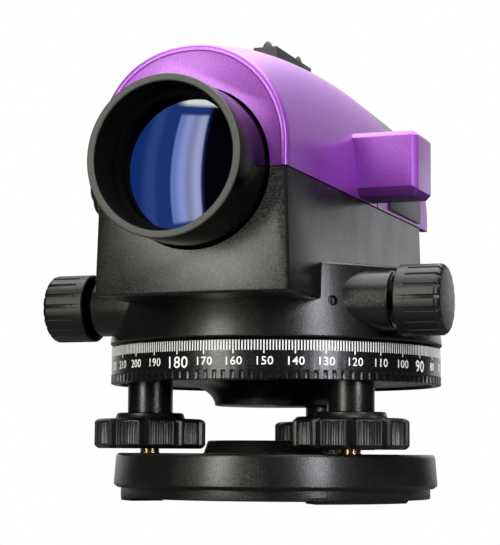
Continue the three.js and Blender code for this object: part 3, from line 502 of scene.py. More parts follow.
MATERIALS = {
    "casting": powder_coat(
        "casting", colour(0.0045, 0.0045, 0.0045), rough=0.25, grain_mm=0.28, depth_mm=0.023, flecks_and_sheen=0.9,
        edge_paling=0.6, calm=1.0, shine=0.36, pale=colour(0.10, 0.10, 0.087), crown=3.5),
    "casting_fine": powder_coat(
        "casting_fine", colour(0.002, 0.002, 0.0025), rough=0.26, grain_mm=0.3, depth_mm=0.02, flecks_and_sheen=0.4,
        edge_paling=0.3),
    "purple": pearl("purple"),
    "hood_side": powder_coat(
        "hood_side", colour(0.0008, 0.0008, 0.0008), rough=0.15, grain_mm=0.4, depth_mm=0.001, edge_paling=0.1,
        shine=0.2),
    # Rim face: a paler copy of the hood's black paint, painted front light on the rim.
    "hood_rim_painted_light": powder_coat(
        "hood_rim_painted_light", colour(0.042, 0.043, 0.037), rough=0.6, grain_mm=0.25, depth_mm=0.012, flecks_and_sheen=0.1),
    "hood_inside": moulded(
        "hood_inside", colour(0.003, 0.003, 0.0033), rough=0.75, grain_mm=0.4, depth_mm=0.006, edge_paling=0.05,
        shine=0.05),
    "plastic": moulded("plastic", colour(0.003, 0.003, 0.0032), rough=0.33),
    "knob": moulded(
        "knob", colour(0.006, 0.006, 0.0054), rough=0.36, grain_mm=0.3, depth_mm=0.015, edge_paling=0.4,
        shine=0.35),
    "scale": moulded(
        "scale", colour(0.0035, 0.0038, 0.004), rough=0.24, grain_mm=0.5, depth_mm=0.002, edge_paling=0.6,
        shine=0.38),
    "ink": moulded("ink", colour(0.85, 0.85, 0.84), rough=0.5, grain_mm=0.4, depth_mm=0.004, edge_paling=0.0),
    "sight": moulded(
        "sight", colour(0.024, 0.024, 0.022), rough=0.6, grain_mm=0.3, depth_mm=0.015, edge_paling=0.4),
    "label": moulded(
        "label", colour(0.03, 0.034, 0.036), rough=0.45, grain_mm=0.5, depth_mm=0.004, edge_paling=0.2),
    "rubber": moulded(
        "rubber", colour(0.012, 0.012, 0.012), rough=0.75, grain_mm=0.5, depth_mm=0.03, edge_paling=0.1),
    "brass": metal("brass", colour(0.9, 0.72, 0.32), rough=0.22),
    "blackened": metal("blackened", colour(0.02, 0.02, 0.02), rough=0.5),
    "steel": metal("steel", colour(0.55, 0.56, 0.57), rough=0.28),
    "aluminium": metal("aluminium", colour(0.5, 0.51, 0.52), rough=0.38),
    "mirror": metal("mirror", colour(0.85, 0.87, 0.88), rough=0.1, line_mm=6),
    "lens": coated_lens("lens"),
    "clear": clear_glass("clear", colour(0.92, 0.97, 0.96)),
}


# ---- driving sizes of the visible pieces, millimetres ----------------

FOOT_RADIUS = 40.4
FOOT_ANGLES = (204.3, 324.3, 84.3)
FEET = [(FOOT_RADIUS * math.cos(math.radians(a)), FOOT_RADIUS * math.sin(math.radians(a)))
        for a in FOOT_ANGLES]
BASE_R = 51.8
BASE_TOP = 14.8
BOSS_TOP = 18.9
CIRCLE_R = 53.0
# How far the circle's lines and numbers stand out of its wall, and how far they reach into it.
INK_PROUD = 0.03
INK_SUNK = 0.12
BODY_HALF = 29.0
BODY_FRONT = -71.6
BODY_REAR = 72.4
REAR_END = 93.0
# The covers' lower edge, the height where their roof arch springs and their wall.
COVER_Z = 95.6
SPRING_Z = 102.0
SHELL = 2.4
# The focusing side (-X) is this much wider, and its roof follows a superellipse of this power.
FOCUS_SIDE = 1.2
FULLNESS = 2.2
# A point on the line of sight (along Y), on the worm and on the focus knob's axis (both along X).
SIGHT_LINE = (0, 0, 96.6)
WORM_LINE = (0, -29.45, 60.5)
FOCUS_LINE = (0, -16.0, 104.5)


# ---- base ------------------------------------------------------------


def build_base():
    """Base plate with three pads below and, around each foot screw, a relief cut into its boss."""
    bore = 10.8
    profile = soften([
        (bore, 5.5, 0), (33, 5.5, 0), (33, 0.8, 0.3), (49.5, 0.8, 0.4), (49.5, 4.0, 0),
        (50.6, 4.0, 0), (BASE_R, 5.0, 0.2), (BASE_R - 0.7, BASE_TOP, 1.3), (24.2, BASE_TOP, 0.6),
        (22.2, BOSS_TOP, 0.9), (bore, BOSS_TOP, 0.3),
    ], 0.4, 4, True)
    base = turned("base_plate", profile, count=240, loop=True)
    spread, steps = 0.38, 16
    turns = [spread * (2 * i / steps - 1) for i in range(steps + 1)]
    inner, outer = ([(r * math.cos(t), r * math.sin(t)) for t in turns] for r in (39.0, 49.4))
    outline = inner + outer[::-1]
    for angle in FOOT_ANGLES:
        pad = skin("pad", [[(x, y * s, z) for x, y in outline] for z, s in ((0.0, 0.93), (2.0, 1.03))])
        join(base, move(pad, turn=angle))
    for x, y in FEET:
        relief = turned("relief", [(19.2, BASE_TOP + 0.02), (19.4, BOSS_TOP + 2)], at=(x, y, 0), count=96)
        pocket = turned("pocket", [(5.5, 7.0), (5.5, BOSS_TOP)], at=(x, y, 0), count=48)
        cut(base, relief, pocket)
    fit(base, "base", MATERIALS["casting"], "base_plate", slot="black_casting")


def build_foot_screws():
    """Three lobed knobs, made once and copied, and their threaded spindles."""
    bottom, top, radius, bore = 16.2, 25.6, 17.75, 3.6
    lobes, ribs = 10, 9
    # Shares of a lobe: half a groove, what stays plain at each end and how fast the ribs begin.
    notch, plain, rise = 0.13, 0.17, 0.03

    def outline(size, groove, rib):
        """Radius by angle: smooth lobes with a V groove between them and fine ribs on each."""
        def radius_at(angle):
            share = (angle / TAU * lobes) % 1
            edge = min(share, 1 - share)
            dip = groove * max(0.0, 1 - edge / notch) ** 0.9
            inside = min(1.0, max(0.0, (edge - plain) / rise))
            wave = 0.5 - 0.5 * math.cos(TAU * (share - plain) / (1 - 2 * plain) * ribs)
            return size - dip - rib * inside * wave
        return radius_at

    rows = [
        (bore, bottom), (14.8, bottom), (outline(16.3, 1.2, 0), bottom),
        (outline(16.9, 1.5, 0), bottom + 0.25), (outline(radius - 0.15, 1.75, 0), bottom + 0.9),
        (outline(radius, 1.8, 0), bottom + 1.25), (outline(radius, 1.8, 0.32), bottom + 1.5),
        (outline(radius, 1.8, 0.32), top - 1.4), (outline(radius, 1.8, 0), top - 1.15),
        (outline(radius - 0.2, 1.7, 0), top - 0.7), (outline(radius - 1.1, 1.3, 0), top - 0.12),
        (outline(radius - 1.7, 1.0, 0), top), (14.4, top), (11.4, top), (11.1, top + 0.3),
        (10.7, top + 1.6), (10.3, top + 1.9), (8.2, top + 1.9), (7.8, top + 1.6), (7.7, 24.2), (bore, 24.2),
    ]
    master = turned("knob", rows, count=lobes * 72, loop=True)
    for k, (x, y) in enumerate(FEET):
        knob = move(duplicate(master, f"footscrew_knob_{k + 1}_shell"), x, y)
        fit(knob, f"footscrew_{k + 1}", MATERIALS["plastic"], f"footscrew_knob_{k + 1}",
            slot="black_plastic")
    bpy.data.objects.remove(master)
    for k, place in enumerate(FEET):
        spindle = turned(f"footscrew_spindle_{k + 1}_thread", thread_rows(), at=(*place, 0), count=40)
        fit(spindle, f"footscrew_{k + 1}", MATERIALS["brass"], f"footscrew_spindle_{k + 1}", slot="brass")


def thread_rows():
    """Profile of a spindle with a ring for each turn of its thread."""
    low, high, pitch = 11.6, 35.8, 0.75
    root, crest = 2.85, 3.2
    rows = [(2.4, low)]
    for i in range(int((high - low) / pitch)):
        z = low + i * pitch
        rows += [(root, z + 0.06), (crest, z + pitch * 0.45), (crest, z + pitch * 0.6), (root, z + pitch)]
    return rows


# ---- tribrach and horizontal circle ----------------------------------


def build_tribrach():
    """Dished plate with a sleeve over each foot screw; its flank is a hollow quarter round."""
    steps = 14
    angles = [i / steps * math.pi / 2 for i in range(steps + 1)]
    flank = [(19.7 + 10.6 * (1 - math.cos(t)) ** 0.9, 30.6 + 6.4 * math.sin(t)) for t in angles]
    profile = [(0.5, 30), (19.0, 30), (19.6, 30.2)] + flank + [
        (49.2, 37.3), (49.6, 37.7), (49.6, 39.8), (49.4, 40), (24, 40), (24, 41.2), (20, 41.2),
        (20, 40), (16, 40), (16, 44.4), (9.3, 44.4), (9.3, 31.7), (0.5, 31.7)]
    plate = turned("tribrach_casting", profile, count=200)
    for x, y in FEET:
        sleeve = soften([(3.5, 26), (7.2, 26, 0.3), (7.25, 37.2, 0.2), (7.25, 38), (3.5, 38)], 0.3)
        join(plate, turned("sleeve", sleeve, at=(x, y, 0), count=72, loop=True))
    fit(plate, "tribrach", MATERIALS["casting_fine"], "tribrach", slot="black_casting")


def build_circle():
    """Graduated ring: a skirt on a thin web, with a fluted grip along its lower edge."""
    low, high = 36.5, 48.4
    skirt, bore = 50.3, 16.4
    flutes, half_flute, blend, ridge_height = 120, 0.22, 0.06, 0.12

    def fluted(depth):
        def radius_at(angle):
            share = (angle / TAU * flutes) % 1
            edge = min(share, 1 - share)
            side = min(1.0, max(0.0, (half_flute - edge) / blend))
            return CIRCLE_R + ridge_height - depth * side
        return radius_at

    rows = [
        (bore, 41.5), (skirt, 41.5), (skirt, low), (CIRCLE_R - 0.6, low),
        (fluted(0.2), low + 0.25), (fluted(0.34), low + 0.6), (fluted(0.34), low + 2.3),
        (fluted(0.24), low + 2.6), (fluted(0.05), low + 2.85), (CIRCLE_R, low + 3.1),
        (CIRCLE_R, high - 0.25), (CIRCLE_R - 0.25, high), (skirt, high), (skirt, 43.5), (bore, 43.5),
    ]
    ring = turned("horizontal_circle_ring", rows, count=flutes * 12, loop=True, sharp=28)
    fit(ring, "circle", MATERIALS["scale"], "horizontal_circle", slot="scale_black")
    build_scale()


def scale_angle(reading):
    """Frame angle of a reading; readings grow clockwise seen from above, and 166.2 is at the front."""
    return math.radians(-90 - (reading - 166.2))


def build_scale():
    """A line for each degree, a longer one at each tenth, and the numbers under those."""
    top, short, long = 48.05, 45.05, 44.1
    half = 0.38 / 2 / CIRCLE_R
    verts, faces = [], []
    for degree in range(360):
        foot = long if degree % 10 == 0 else short
        angle = scale_angle(degree)
        corner = len(verts)
        for r in (CIRCLE_R - INK_SUNK, CIRCLE_R + INK_PROUD):
            for a, z in ((-half, foot), (half, foot), (half, top), (-half, top)):
                verts.append((r * math.cos(angle + a), r * math.sin(angle + a), z))
        quads = ((0, 1, 2, 3), (4, 5, 6, 7), (0, 1, 5, 4), (1, 2, 6, 5), (2, 3, 7, 6), (3, 0, 4, 7))
        faces += [tuple(corner + i for i in quad) for quad in quads]
    ticks = make("circle_ticks", verts, faces)
    fit(ticks, "circle", MATERIALS["ink"], slot="scale_black")
    numerals = [numeral(degree) for degree in range(0, 360, 10)]
    fit(merge("circle_numerals", numerals), "circle", MATERIALS["ink"], slot="scale_black")


def numeral(degree):
    """One number as a thin solid wrapped onto the circle; quarter turns have larger digits."""
    foot, height = (40.05, 3.5) if degree % 90 == 0 else (40.8, 2.48)
    digit_height, widening = 0.72, 1.05
    text = bpy.data.curves.new("numeral", "FONT")
    text.body = str(degree)
    text.align_x = "CENTER"
    text.size = 1.0
    text.offset = 0.008
    text.extrude = 0.02
    text.space_character = 1.06
    text.resolution_u = 4
    thing = bpy.data.objects.new("numeral", text)
    bpy.context.scene.collection.objects.link(thing)
    bpy.context.view_layer.update()
    mesh = bpy.data.meshes.new_from_object(thing.evaluated_get(bpy.context.evaluated_depsgraph_get()))
    bpy.data.objects.remove(thing)
    size = height / digit_height
    centre = scale_angle(degree)
    for vertex in mesh.vertices:
        u, v, w = vertex.co
        angle = centre + u * size * widening / CIRCLE_R
        r = CIRCLE_R + (INK_PROUD if w > 0 else -INK_SUNK)
        vertex.co = Vector((r * math.cos(angle), r * math.sin(angle), foot + v * size)) * MM
    wrapped = bpy.data.objects.new("numeral", mesh)
    bpy.context.scene.collection.objects.link(wrapped)
    work = bmesh.new()
    work.from_mesh(mesh)
    bmesh.ops.remove_doubles(work, verts=work.verts, dist=WELD)
    work.to_mesh(mesh)
    work.free()
    return wrapped


# ---- casting ---------------------------------------------------------


def on_drum(thing, reach):
    """Puts a piece made along +X at the origin where the adjusting screw sits, reach from the axis."""
    turn, height = -51.2, 60.1
    angle = math.radians(turn)
    return move(thing, reach * math.cos(angle), reach * math.sin(angle), height, turn)


def build_casting():
    """Drum, telescope box and two tangent bosses in one, hollowed and bored, and the adjusting screw."""
    drum = turned("main_casting", soften([
        (0.5, 49), (53.1, 49), (53.5, 49.4), (53.4, 50.4), (50.4, 71.1), (49.6, 71.8), (0.5, 71.8),
    ], 0.35, 3), count=256)
    low_half, high_half = BODY_HALF + 0.6, BODY_HALF - 0.4
    floor, corner = 60.2, 1.2

    def section(y, shrink):
        """Telescope box: nearly upright sides, small rounded edges at the bottom."""
        left = -FOCUS_SIDE + shrink
        points = [(high_half - shrink, COVER_Z, 0), (low_half - shrink, floor + shrink, corner),
                  (left - low_half, floor + shrink, corner), (left - high_half, COVER_Z, 0)]
        return [(x, y, z) for x, z in soften(points, corner, 4)]

    front = BODY_FRONT + 0.6
    rings = [section(front + 0.0, 0.8), section(front + 0.2, 0.35), section(front + 0.7, 0.05),
             section(front + 1.0, 0.0), section(BODY_REAR - 1, 0.0), section(BODY_REAR, 0.9)]
    box = skin("box", rings)
    bosses = []
    for side in (-1, 1):
        profile = [(0.5, 30), (9.0, 30), (9.0, 48.5, 0.8), (7.3, 48.5, 0.2), (7.0, 47.5, 0.2), (0.5, 47.5)]
        rows = [(r, side * x) for r, x in soften(profile, 0.3, 4)]
        bosses.append(turned("boss", rows, "X", WORM_LINE, 96))
    join(drum, box, *bosses)
    wall = 3.5
    inside = block("cavity", (-BODY_HALF + wall, BODY_FRONT + 5, 73),
                   (BODY_HALF - wall, BODY_REAR - wall, 97), 0)
    chamber = turned("chamber", [(49.3, 48), (49.3, 52.7), (46.5, 52.7), (46.5, 69.6)], count=128)
    rear_bore = turned("bore", [(12, BODY_REAR - 6), (12, BODY_REAR + 6)], "Y", SIGHT_LINE, 64)
    worm_bore = turned("bore", [(6.3, -60), (6.3, 60)], "X", WORM_LINE, 64)
    screw_hole = turned("hole", [(1.45, -4), (1.45, 0.2), (1.9, 1.6), (2.2, 4)], "X", count=32)
    cut(drum, inside, chamber, hood_bore(1.1, 128), rear_bore, worm_bore, on_drum(screw_hole, 51.4))
    fit(drum, "alidade", MATERIALS["casting"], "main_housing", slot="black_casting")
    screw = soften([(0.05, -3), (1.3, -3), (1.3, 0, 0.2), (0.05, 0)], 0.2)
    slotted = turned("adjusting_screw", screw, "X", count=32)
    cut(slotted, block("slot", (-0.5, -0.2, -2), (1, 0.2, 2), 0))
    fit(on_drum(slotted, 50.6), "alidade", MATERIALS["sight"], slot="steel")


def hood_bore(step, count):
    """Cutter for the lens hood's seat; its mouth narrows over step behind the front face."""
    mouth, seat = 24.5, 23.7
    rows = [(mouth, BODY_FRONT - 1), (seat, BODY_FRONT + step), (seat, BODY_FRONT + 8)]
    return turned("bore", rows, "Y", SIGHT_LINE, count)


# ---- covers ----------------------------------------------------------

# Stations (y, z) along the top of the covers.
RIDGE = ((-71.6, 132.6), (-40, 138.6), (-5, 142.1), (30, 143.1), (65, 141.9), (REAR_END, 140.4))


def ridge(y):
    """Height of the covers' ridge: a smooth curve through the ridge stations."""
    y = min(max(y, RIDGE[0][0]), RIDGE[-1][0])
    i = max(k for k in range(len(RIDGE) - 1) if RIDGE[k][0] <= y)
    (y0, z0), (y1, z1) = RIDGE[i], RIDGE[i + 1]

    def slope(k):
        a, b = RIDGE[max(k - 1, 0)], RIDGE[min(k + 1, len(RIDGE) - 1)]
        return (b[1] - a[1]) / (b[0] - a[0])

    span = y1 - y0
    t = (y - y0) / span
    return ((2 * t ** 3 - 3 * t ** 2 + 1) * z0 + (t ** 3 - 2 * t ** 2 + t) * span * slope(i)
            + (-2 * t ** 3 + 3 * t ** 2) * z1 + (t ** 3 - t ** 2) * span * slope(i + 1))


def half_width(y):
    """Half width of the covers: constant up to their last few millimetres, then narrower."""
    start, narrowing = 82.0, 4
    return BODY_HALF - narrowing * max(0.0, (y - start) / (REAR_END - start))


def arch(name, stations, bottom, steps=72):
    """Solid under the arched roof, which is fuller on the focusing side; stations are (y, inset) pairs."""
    power = 2 / FULLNESS
    rings = []
    for y, inset in stations:
        half = half_width(y) - inset
        rise = ridge(y) - inset - SPRING_Z
        ring = [(half, y, bottom), (half, y, (bottom + SPRING_Z) / 2)]
        for i in range(steps + 1):
            across = math.cos(math.pi * i / steps)
            up = max(0.0, math.sin(math.pi * i / steps))
            if across < 0:
                across = -(1 + FOCUS_SIDE / half) * (-across) ** power
                up **= power
            ring.append((half * across, y, SPRING_Z + rise * up))
        ring += [(-half - FOCUS_SIDE, y, (bottom + SPRING_Z) / 2), (-half - FOCUS_SIDE, y, bottom)]
        rings.append(ring)
    return skin(name, rings)


def spaced(start, end, count):
    """Numbers from start to end in count equal steps."""
    return [start + (end - start) * i / count for i in range(count + 1)]


# Points (y, z, corner radius) along the seam between the purple and the black cover.
SEAM = ((82.5, 80, 0), (82.5, 104, 5), (52, 128.5, 12), (41, 134.3, 6), (28, 136.2, 8), (14, 139.2, 8),
        (-4, 146, 0))


def seam_block(shift):
    """Solid that holds all of the cover in front of the seam; shift moves the seam back and up."""
    beyond = [(-95, 170), (-95, 80)]
    outline = [(y + shift, z + shift) for y, z in soften(SEAM, 5, 8)]
    return prism("seam", outline + beyond, -60, 60)


def cover_hollow():
    stations = spaced(BODY_FRONT + SHELL, REAR_END - SHELL, 24)
    return arch("inner", [(y, SHELL) for y in stations], COVER_Z - 5, 48)


def cover_shell(name, inset=0.0):
    """Hollow cover from front to rear; its front edge has a raised bead around a sunk panel."""
    bead = ((0.0, 1.1), (0.04, 0.7), (0.2, 0.32), (0.5, 0.08), (0.8, 0.02), (1.1, 0.06), (1.35, 0.14),
            (1.7, 0.15), (2.0, 0.07), (2.5, 0.0))
    round_off = ((3.0, 0.25), (1.4, 0.8), (0.5, 1.7), (0.0, 3.0))
    sunk_panel = ((-1, 1.45), (0.1, 1.5), (0.4, 2.1))
    stations = [(BODY_FRONT + back, drop) for back, drop in bead]
    stations += [(y, 0.0) for y in spaced(BODY_FRONT + 4, REAR_END - 6, 44)]
    stations += [(REAR_END - ahead, drop) for ahead, drop in round_off]
    outer = arch(name, [(y, drop + inset) for y, drop in stations], COVER_Z + 0.3)
    panel = arch("panel", [(BODY_FRONT + back, drop) for back, drop in sunk_panel], COVER_Z - 5)
    return cut(outer, cover_hollow(), panel)


def bubble_box():
    """Housing of the circular bubble: chamfered sides and a deeper chamfer under its front."""
    x0, x1, y0, y1, z0, z1 = 25.0, 48.6, -5.0, 14.0, 96.5, 117.0
    edge, under = 1.6, 2.6
    rings = []
    tiny = 0.05  # keeps the corners of a ring apart where the chamfers meet
    for y, shrink, lift in ((y0, edge, under), (y0 + edge, 0, under - edge), (y0 + under, 0, 0),
                            (y1 - edge, 0, 0), (y1, edge, edge)):
        foot = z0 + max(lift, edge)
        ring = [(x0, z0 + lift), (x1 - edge - tiny, z0 + lift), (x1 - shrink, foot + tiny),
                (x1 - shrink, z1 - edge - tiny), (x1 - edge - tiny, z1 - shrink), (x0, z1 - shrink)]
        rings.append([(x, y, z) for x, z in ring])
    return bevel(skin("bubble_box", rings), 0.3, 3, 20)


def build_top_cover():
    """Purple cover with the bubble housing and the focus boss joined on, then hollowed and bored."""
    cover = keep(cover_shell("top_cover_shell"), seam_block(0))
    boss = soften([(0.5, -33), (8, -33, 0.6), (8, -20), (0.5, -20)], 0.5)
    join(cover, bubble_box(), turned("focus_boss", boss, "X", FOCUS_LINE, 72))
    cut(
        cover,
        cover_hollow(),
        block("box_hollow", (30.6, -3, 98.5), (46.6, 12, 115), 0),
        block("box_window", (33, 11, 104), (44, 20, 114), 0),
        turned("bush_bore", [(5.3, -40), (5.3, -20)], "X", FOCUS_LINE, 48),
        hood_bore(0.6, 160),
        block("groove", (28.4, 17.2, 90), (31, 18.3, 100), 0),
    )
    fit(cover, "alidade", MATERIALS["purple"], "top_cover", slot="purple_cover")


def build_rear_cover():
    """Black cover behind the seam, with a hollow chin under it and the eyepiece boss."""
    half, start, end = 22, REAR_END - 2, REAR_END + 4
    rear = cut(cover_shell("rear_cover_shell", 0.35), seam_block(0.3),
               block("trim", (-40, 70, 90), (40, 100, 98.6), 0))
    chin = block("chin", (-half, BODY_REAR + 0.3, 80), (half, REAR_END, 104), 1.5, 4)
    hollow = block("hollow", (-half + SHELL, BODY_REAR - 2, 80 + SHELL),
                   (half - SHELL, REAR_END - SHELL, 120), 0)
    boss = soften([(0.5, start), (14, start), (14, end, 0.8), (0.5, end)], 0.6)
    join(rear, cut(chin, hollow), turned("boss", boss, "Y", SIGHT_LINE, 96))
    cut(rear, turned("bore", [(11.8, 85), (11.8, 110)], "Y", SIGHT_LINE, 72))
    fit(rear, "alidade", MATERIALS["casting"], "rear_cover", slot="black_casting")


def build_sight():
    """Gun sight: a bar that sits on the ridge, with a low peak in front and a higher one behind."""
    y0, y1, top, half, sunk = -11.8, 22.6, 145.8, 4.1, 1.0
    outline = [(y0, ridge(y0) - sunk), (y1, ridge(y1) - sunk), (y1, top), (y0, top)]
    sight = prism("sight_bar", outline, -half, half)
    bevel(sight, 0.35, 3)
    bottom = arch("under", [(y, 0.0) for y in spaced(y0 - 3, y1 + 3, 12)], 120)
    cut(sight, bottom)
    taper = ((1.8, 0.0), (1.6, 0.25), (1.2, 0.6), (0.8, 0.85), (0.45, 0.97), (0.05, 1.0))
    for y, height in ((y0 + 2.6, 2.3), (y1 - 2.2, 4.0)):
        profile = [(1.8, top - 0.6)] + [(r, top + height * share) for r, share in taper]
        join(sight, turned("peak", profile, at=(0, y, 0), count=48))
    fit(sight, "alidade", MATERIALS["sight"], "optical_sight", slot="sight_grey")


def build_label():
    """Blank plate, as large as the CAD one and with softer edges."""
    low, high = cad_box("label_plate")
    plate = block("label_blank", tuple(low), tuple(high), 0.15, 2)
    fit(plate, "alidade", MATERIALS["label"], "label_plate", slot="label")


# ---- objective -------------------------------------------------------


def build_objective():
    """Lens hood with its rim and dull inside, the retaining ring and the coated glass."""
    front, bore, outside = -92.9, 20.9, 23.16
    hood = turned("hood_tube", soften([
        (bore, front + 0.4, 0.3), (bore + 0.35, front, 0.1), (22.85, front, 0.15),
        (outside, front + 0.4, 0.2), (outside, -61, 0.2), (16.8, -61, 0.2), (16.8, -65.0, 0.2),
        (bore, -65.0, 0.1), (bore, -80.8, 0.1), (19.1, -80.8, 0.1), (19.1, -81.9, 0.15), (bore, -81.9, 0.1),
    ], 0.2, 3, True), "Y", SIGHT_LINE, 256, loop=True)
    fit(hood, "alidade", MATERIALS["hood_side"], "lens_hood", slot="lens_hood_black")
    hood.data.materials.append(MATERIALS["hood_inside"])
    hood.data.materials.append(MATERIALS["hood_rim_painted_light"])
    for face in hood.data.polygons:
        spot = (face.center - AXIS_PLACE) / MM
        if math.hypot(spot.x, spot.z - SIGHT_LINE[2]) < bore + 0.1:
            face.material_index = 1
        # Faces at the front become the rim, with its painted front light.
        elif spot.y < front + 0.3:
            face.material_index = 2
    ring = turned("lens_ring", soften([
        (20.0, -71.5, 0.1), (20.4, -72.3, 0.2), (20.8, -72.3, 0.1), (20.8, -68.0, 0.1), (20.0, -68.0, 0.1),
    ], 0.2, 3, True), "Y", SIGHT_LINE, 192, loop=True)
    fit(ring, "alidade", MATERIALS["hood_inside"], "objective_retaining_ring", slot="black_plastic")
    radius = 20.4
    shares = spaced(0, 1, 16)
    rows = [(max(radius * s, 0.05), -73.1 + 2.6 * s ** 2) for s in shares]
    rows += [(max(radius * s, 0.05), -66.2 - 1.0 * s ** 2) for s in shares[::-1]]
    glass = turned("objective_glass", rows, "Y", SIGHT_LINE, 160)
    fit(glass, "alidade", MATERIALS["lens"], "objective_doublet", slot="coated_glass")


# ---- knobs on the alidade --------------------------------------------


def grip(flutes, size, depth, share, blend):
    """Radius by angle for shallow flat-bottomed flutes, each share of a turn's step wide."""
    def radius_at(angle):
        turn = (angle / TAU * flutes) % 1
        edge = min(turn, 1 - turn)
        side = min(1.0, max(0.0, (share / 2 - edge) / blend + 0.5))
        return size - depth * side
    return radius_at


def build_tangent_knobs():
    """Two fluted knobs with a domed end and a recess towards the boss; the recess gets the hood's dark
    inside finish as painted shade.
    """
    radius, flutes, recess = 10.67, 18, 9.8

    def fluted(depth, drop=0.0):
        return grip(flutes, radius - drop, depth, 0.30, 0.05)

    profile = [
        (3.2, 55.0), (9.6, 55.0), (recess, 50.9), (10.0, 50.6), (10.4, 50.6), (radius, 50.9), (radius, 53.7),
        (fluted(0.12), 53.85), (fluted(0.38), 54.1), (fluted(0.38), 62.6), (fluted(0.6), 63.0),
        (fluted(0.75, 0.15), 63.5), (fluted(0.6, 0.7), 64.1), (fluted(0.3, 1.3), 64.45),
        (radius - 2.0, 64.55), (radius - 3.5, 64.65), (5.0, 64.85), (0.3, 64.9),
    ]
    for label, side in (("left", 1), ("right", -1)):
        rows = [(r, side * x) for r, x in profile]
        knob = turned(f"tangent_knob_{label}_grip", rows, "X", WORM_LINE, flutes * 24)
        fit(knob, "tangent_drive", MATERIALS["knob"], f"tangent_knob_{label}", slot="knob_grey")
        # Faces in the recess get the darker, duller inside finish: painted shade in the recess.
        knob.data.materials.append(MATERIALS["hood_inside"])
        for face in knob.data.polygons:
            spot = (face.center - AXIS_PLACE) / MM
            if abs(spot.x) < 56 and math.hypot(spot.y - WORM_LINE[1], spot.z - WORM_LINE[2]) < recess:
                face.material_index = 1


def build_focus_knob():
    """Large knob with round lobes and a shallow dish in its end."""
    radius, lobes = 17.6, 20

    def lobed(size, depth):
        def radius_at(angle):
            turn = (angle / TAU * lobes) % 1
            return size - depth * (1 - abs(math.sin(math.pi * turn)) ** 0.7)
        return radius_at

    rows = [
        (2.7, -36.5), (13, -36.5), (lobed(16.2, 0.6), -36.6), (lobed(17.2, 1.1), -37.1),
        (lobed(radius, 1.2), -37.9), (lobed(radius, 1.2), -50.7), (lobed(17.3, 1.1), -51.7),
        (lobed(16.4, 0.8), -52.4), (15.0, -52.8), (13.8, -52.9), (13.4, -52.6), (13.0, -52.3),
        (6, -52.4), (0.3, -52.45),
    ]
    knob = turned("focus_knob_grip", rows, "X", FOCUS_LINE, lobes * 20)
    fit(knob, "focus_drive", MATERIALS["knob"], "focus_knob", slot="knob_grey")


def build_eyepiece():
    """Fluted diopter ring and the rubber eyecup behind it."""
    flutes = 24

    def fluted(depth):
        return grip(flutes, 15.4, depth, 0.4, 0.1)

    ring = turned("eyepiece_ring_grip", [
        (11.8, 97.5), (13.6, 97.5), (15.0, 97.9), (15.2, 98.6), (fluted(0.1), 99.0), (fluted(0.7), 99.4),
        (fluted(0.7), 105.8), (fluted(0.1), 106.2), (15.1, 106.7), (14.6, 107.4), (12.5, 107.5),
        (10.2, 107.5), (10.2, 104), (11.8, 104),
    ], "Y", SIGHT_LINE, flutes * 16, loop=True)
    fit(ring, "diopter", MATERIALS["plastic"], "eyepiece_ring", slot="black_plastic")
    cup = turned("eyecup_rubber", soften([
        (9, 107.8), (14, 107.8), (14.5, 110, 0.5), (14.6, 112, 0.4), (13.6, 112.3, 0.4), (12.6, 111.4, 0.5),
        (10.5, 109.4, 0.5), (9, 108.9),
    ], 0.3, 3, True), "Y", SIGHT_LINE, 96, loop=True)
    fit(cup, "diopter", MATERIALS["rubber"], "eyecup", slot="rubber")


# ---- carried-over CAD nodes ------------------------------------------

# CAD nodes inside or underneath that are shown as they are, by material.
CARRIED = {
    "blackened": ("tangent_bush_left", "tangent_bush_right", "worm_shaft"),
    "brass": ("tripod_thread_insert", "worm_wheel", "bearing_sleeve", "focus_bush", "pendulum",
              "reticle_ring", "eyepiece_cell", "foot_collar_1", "foot_collar_2", "foot_collar_3"),
    "steel": ("spring_plate", "foot_seat_1", "foot_seat_2", "foot_seat_3", "foot_ball_1", "foot_ball_2",
              "foot_ball_3", "vertical_axle", "clutch_washer", "clutch_screw", "focus_shaft",
              "focus_guide_rod_1", "focus_guide_rod_2", "damper_magnet"),
    "aluminium": ("bearing_plate", "vial_housing", "focus_carriage", "compensator_frame", "eyepiece_sleeve"),
    "clear": ("vial_glass", "pendulum_prism", "reticle_glass", "eyepiece_lens", "focusing_lens"),
    "mirror": ("vial_mirror",),
}


def finish_carried():
    for finish, nodes in CARRIED.items():
        for node in nodes:
            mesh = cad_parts[node].data
            mesh.materials.clear()
            mesh.materials.append(MATERIALS[finish])


# ---- stage -----------------------------------------------------------


def build_floor():
    """Pale round table top; it is plain white to the camera and dim in reflections."""
    radius, below, count = 230, -0.05, 96
    turns = [TAU * i / count for i in range(count)]
    floor = make("floor", [(radius * math.cos(t), radius * math.sin(t), below) for t in turns],
                 [tuple(range(count))])
    g = new_graph("floor")
    dim = g.add("ShaderNodeBsdfDiffuse", {"Color": colour(0.12, 0.12, 0.12)}).outputs[0]
    white = g.add("ShaderNodeEmission", {"Color": colour(1, 1, 1), "Strength": 1.0}).outputs[0]
    g.output("ShaderNodeOutputMaterial", white, dim)
    floor.data.materials.append(g.owner)
    floor.data.transform(Matrix.Translation(AXIS_PLACE))


def softbox(name, azimuth, elevation, distance, width, height, power, tint=(1, 1, 1)):
    """Rectangular lamp aimed at the middle of the part; metres and watts."""
    light = bpy.data.lights.new(name, "AREA")
    light.shape = "RECTANGLE"
    light.size = width
    light.size_y = height
    light.energy = power
    light.color = tint
    lamp = bpy.data.objects.new(name, light)
    bpy.context.scene.collection.objects.link(lamp)
    middle_height = 0.07
    target = AXIS_PLACE + Vector((0, 0, middle_height))
    lamp.location = target + direction(azimuth, elevation) * distance
    lamp.rotation_euler = (lamp.location - target).to_track_quat("Z", "Y").to_euler()
    lamp.visible_camera = False


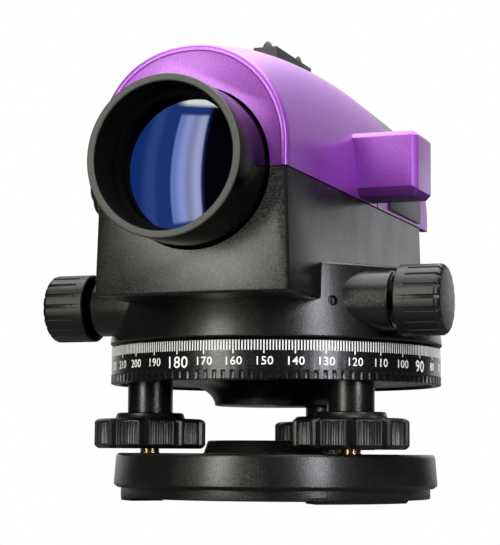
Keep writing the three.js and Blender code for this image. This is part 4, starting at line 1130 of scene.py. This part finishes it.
def build_light():
    """White world for the camera; for the part a dim room with a bright wall behind it, and lamps."""
    world = bpy.data.worlds.new("studio")
    bpy.context.scene.world = world
    g = Graph(world, "Generated")
    behind = g.vector("DOT_PRODUCT", g.coords, -direction(20, 0))["Value"]
    wall = g.ramp(behind, 0.06, 1.35, 0.6, 1.0, "SMOOTHSTEP")
    above_table = g.ramp(g.split(g.coords)["Z"], 0.0, 1.0, -0.10, 0.08)
    room = g.add("ShaderNodeBackground", {"Strength": g.math("MULTIPLY", wall, above_table)}).outputs[0]
    white = g.add("ShaderNodeBackground", {"Color": colour(1, 1, 1), "Strength": 1.0}).outputs[0]
    g.output("ShaderNodeOutputWorld", white, room)
    softbox("overhead", 150, 83, 0.9, 1.4, 1.4, 28)
    softbox("front_left", -19, 13, 1.0, 0.28, 0.98, 9.8, (1.0, 0.98, 0.90))
    softbox("front_right", 54, 13, 1.0, 0.20, 0.62, 8.0, (0.93, 0.94, 1.0))
    softbox("rear_right", 156, 8, 0.36, 0.10, 0.08, 0.02, (0.95, 0.97, 1.0))


def build_camera():
    """Camera at the photograph's viewing angle."""
    azimuth, distance, height = math.radians(20.04), 547.6, 15.0
    heading, pitch, roll = math.radians(20.94), math.radians(6.09), math.radians(0.386)
    level_forward = Vector((-math.sin(heading), math.cos(heading), 0))
    level_right = Vector((math.cos(heading), math.sin(heading), 0))
    forward = level_forward * math.cos(pitch) + Vector((0, 0, 1)) * math.sin(pitch)
    upward = level_right.cross(forward)
    right = level_right * math.cos(roll) + upward * math.sin(roll)
    upward = right.cross(forward)
    view = bpy.data.cameras.new("camera")
    view.sensor_width = 36
    view.lens = 111.7
    view.clip_start = 0.01
    camera = bpy.data.objects.new("camera", view)
    bpy.context.scene.collection.objects.link(camera)
    basis = Matrix((right, upward, -forward)).transposed().to_4x4()
    eye = AXIS_PLACE + Vector((distance * math.sin(azimuth), -distance * math.cos(azimuth), height)) * MM
    camera.matrix_world = Matrix.Translation(eye) @ basis
    bpy.context.scene.camera = camera
    bpy.context.scene.view_settings.view_transform = "Standard"


build_base()
build_foot_screws()
build_tribrach()
build_circle()
build_casting()
build_top_cover()
build_rear_cover()
build_sight()
build_label()
build_objective()
build_tangent_knobs()
build_focus_knob()
build_eyepiece()
finish_carried()
build_floor()
build_light()
build_camera()
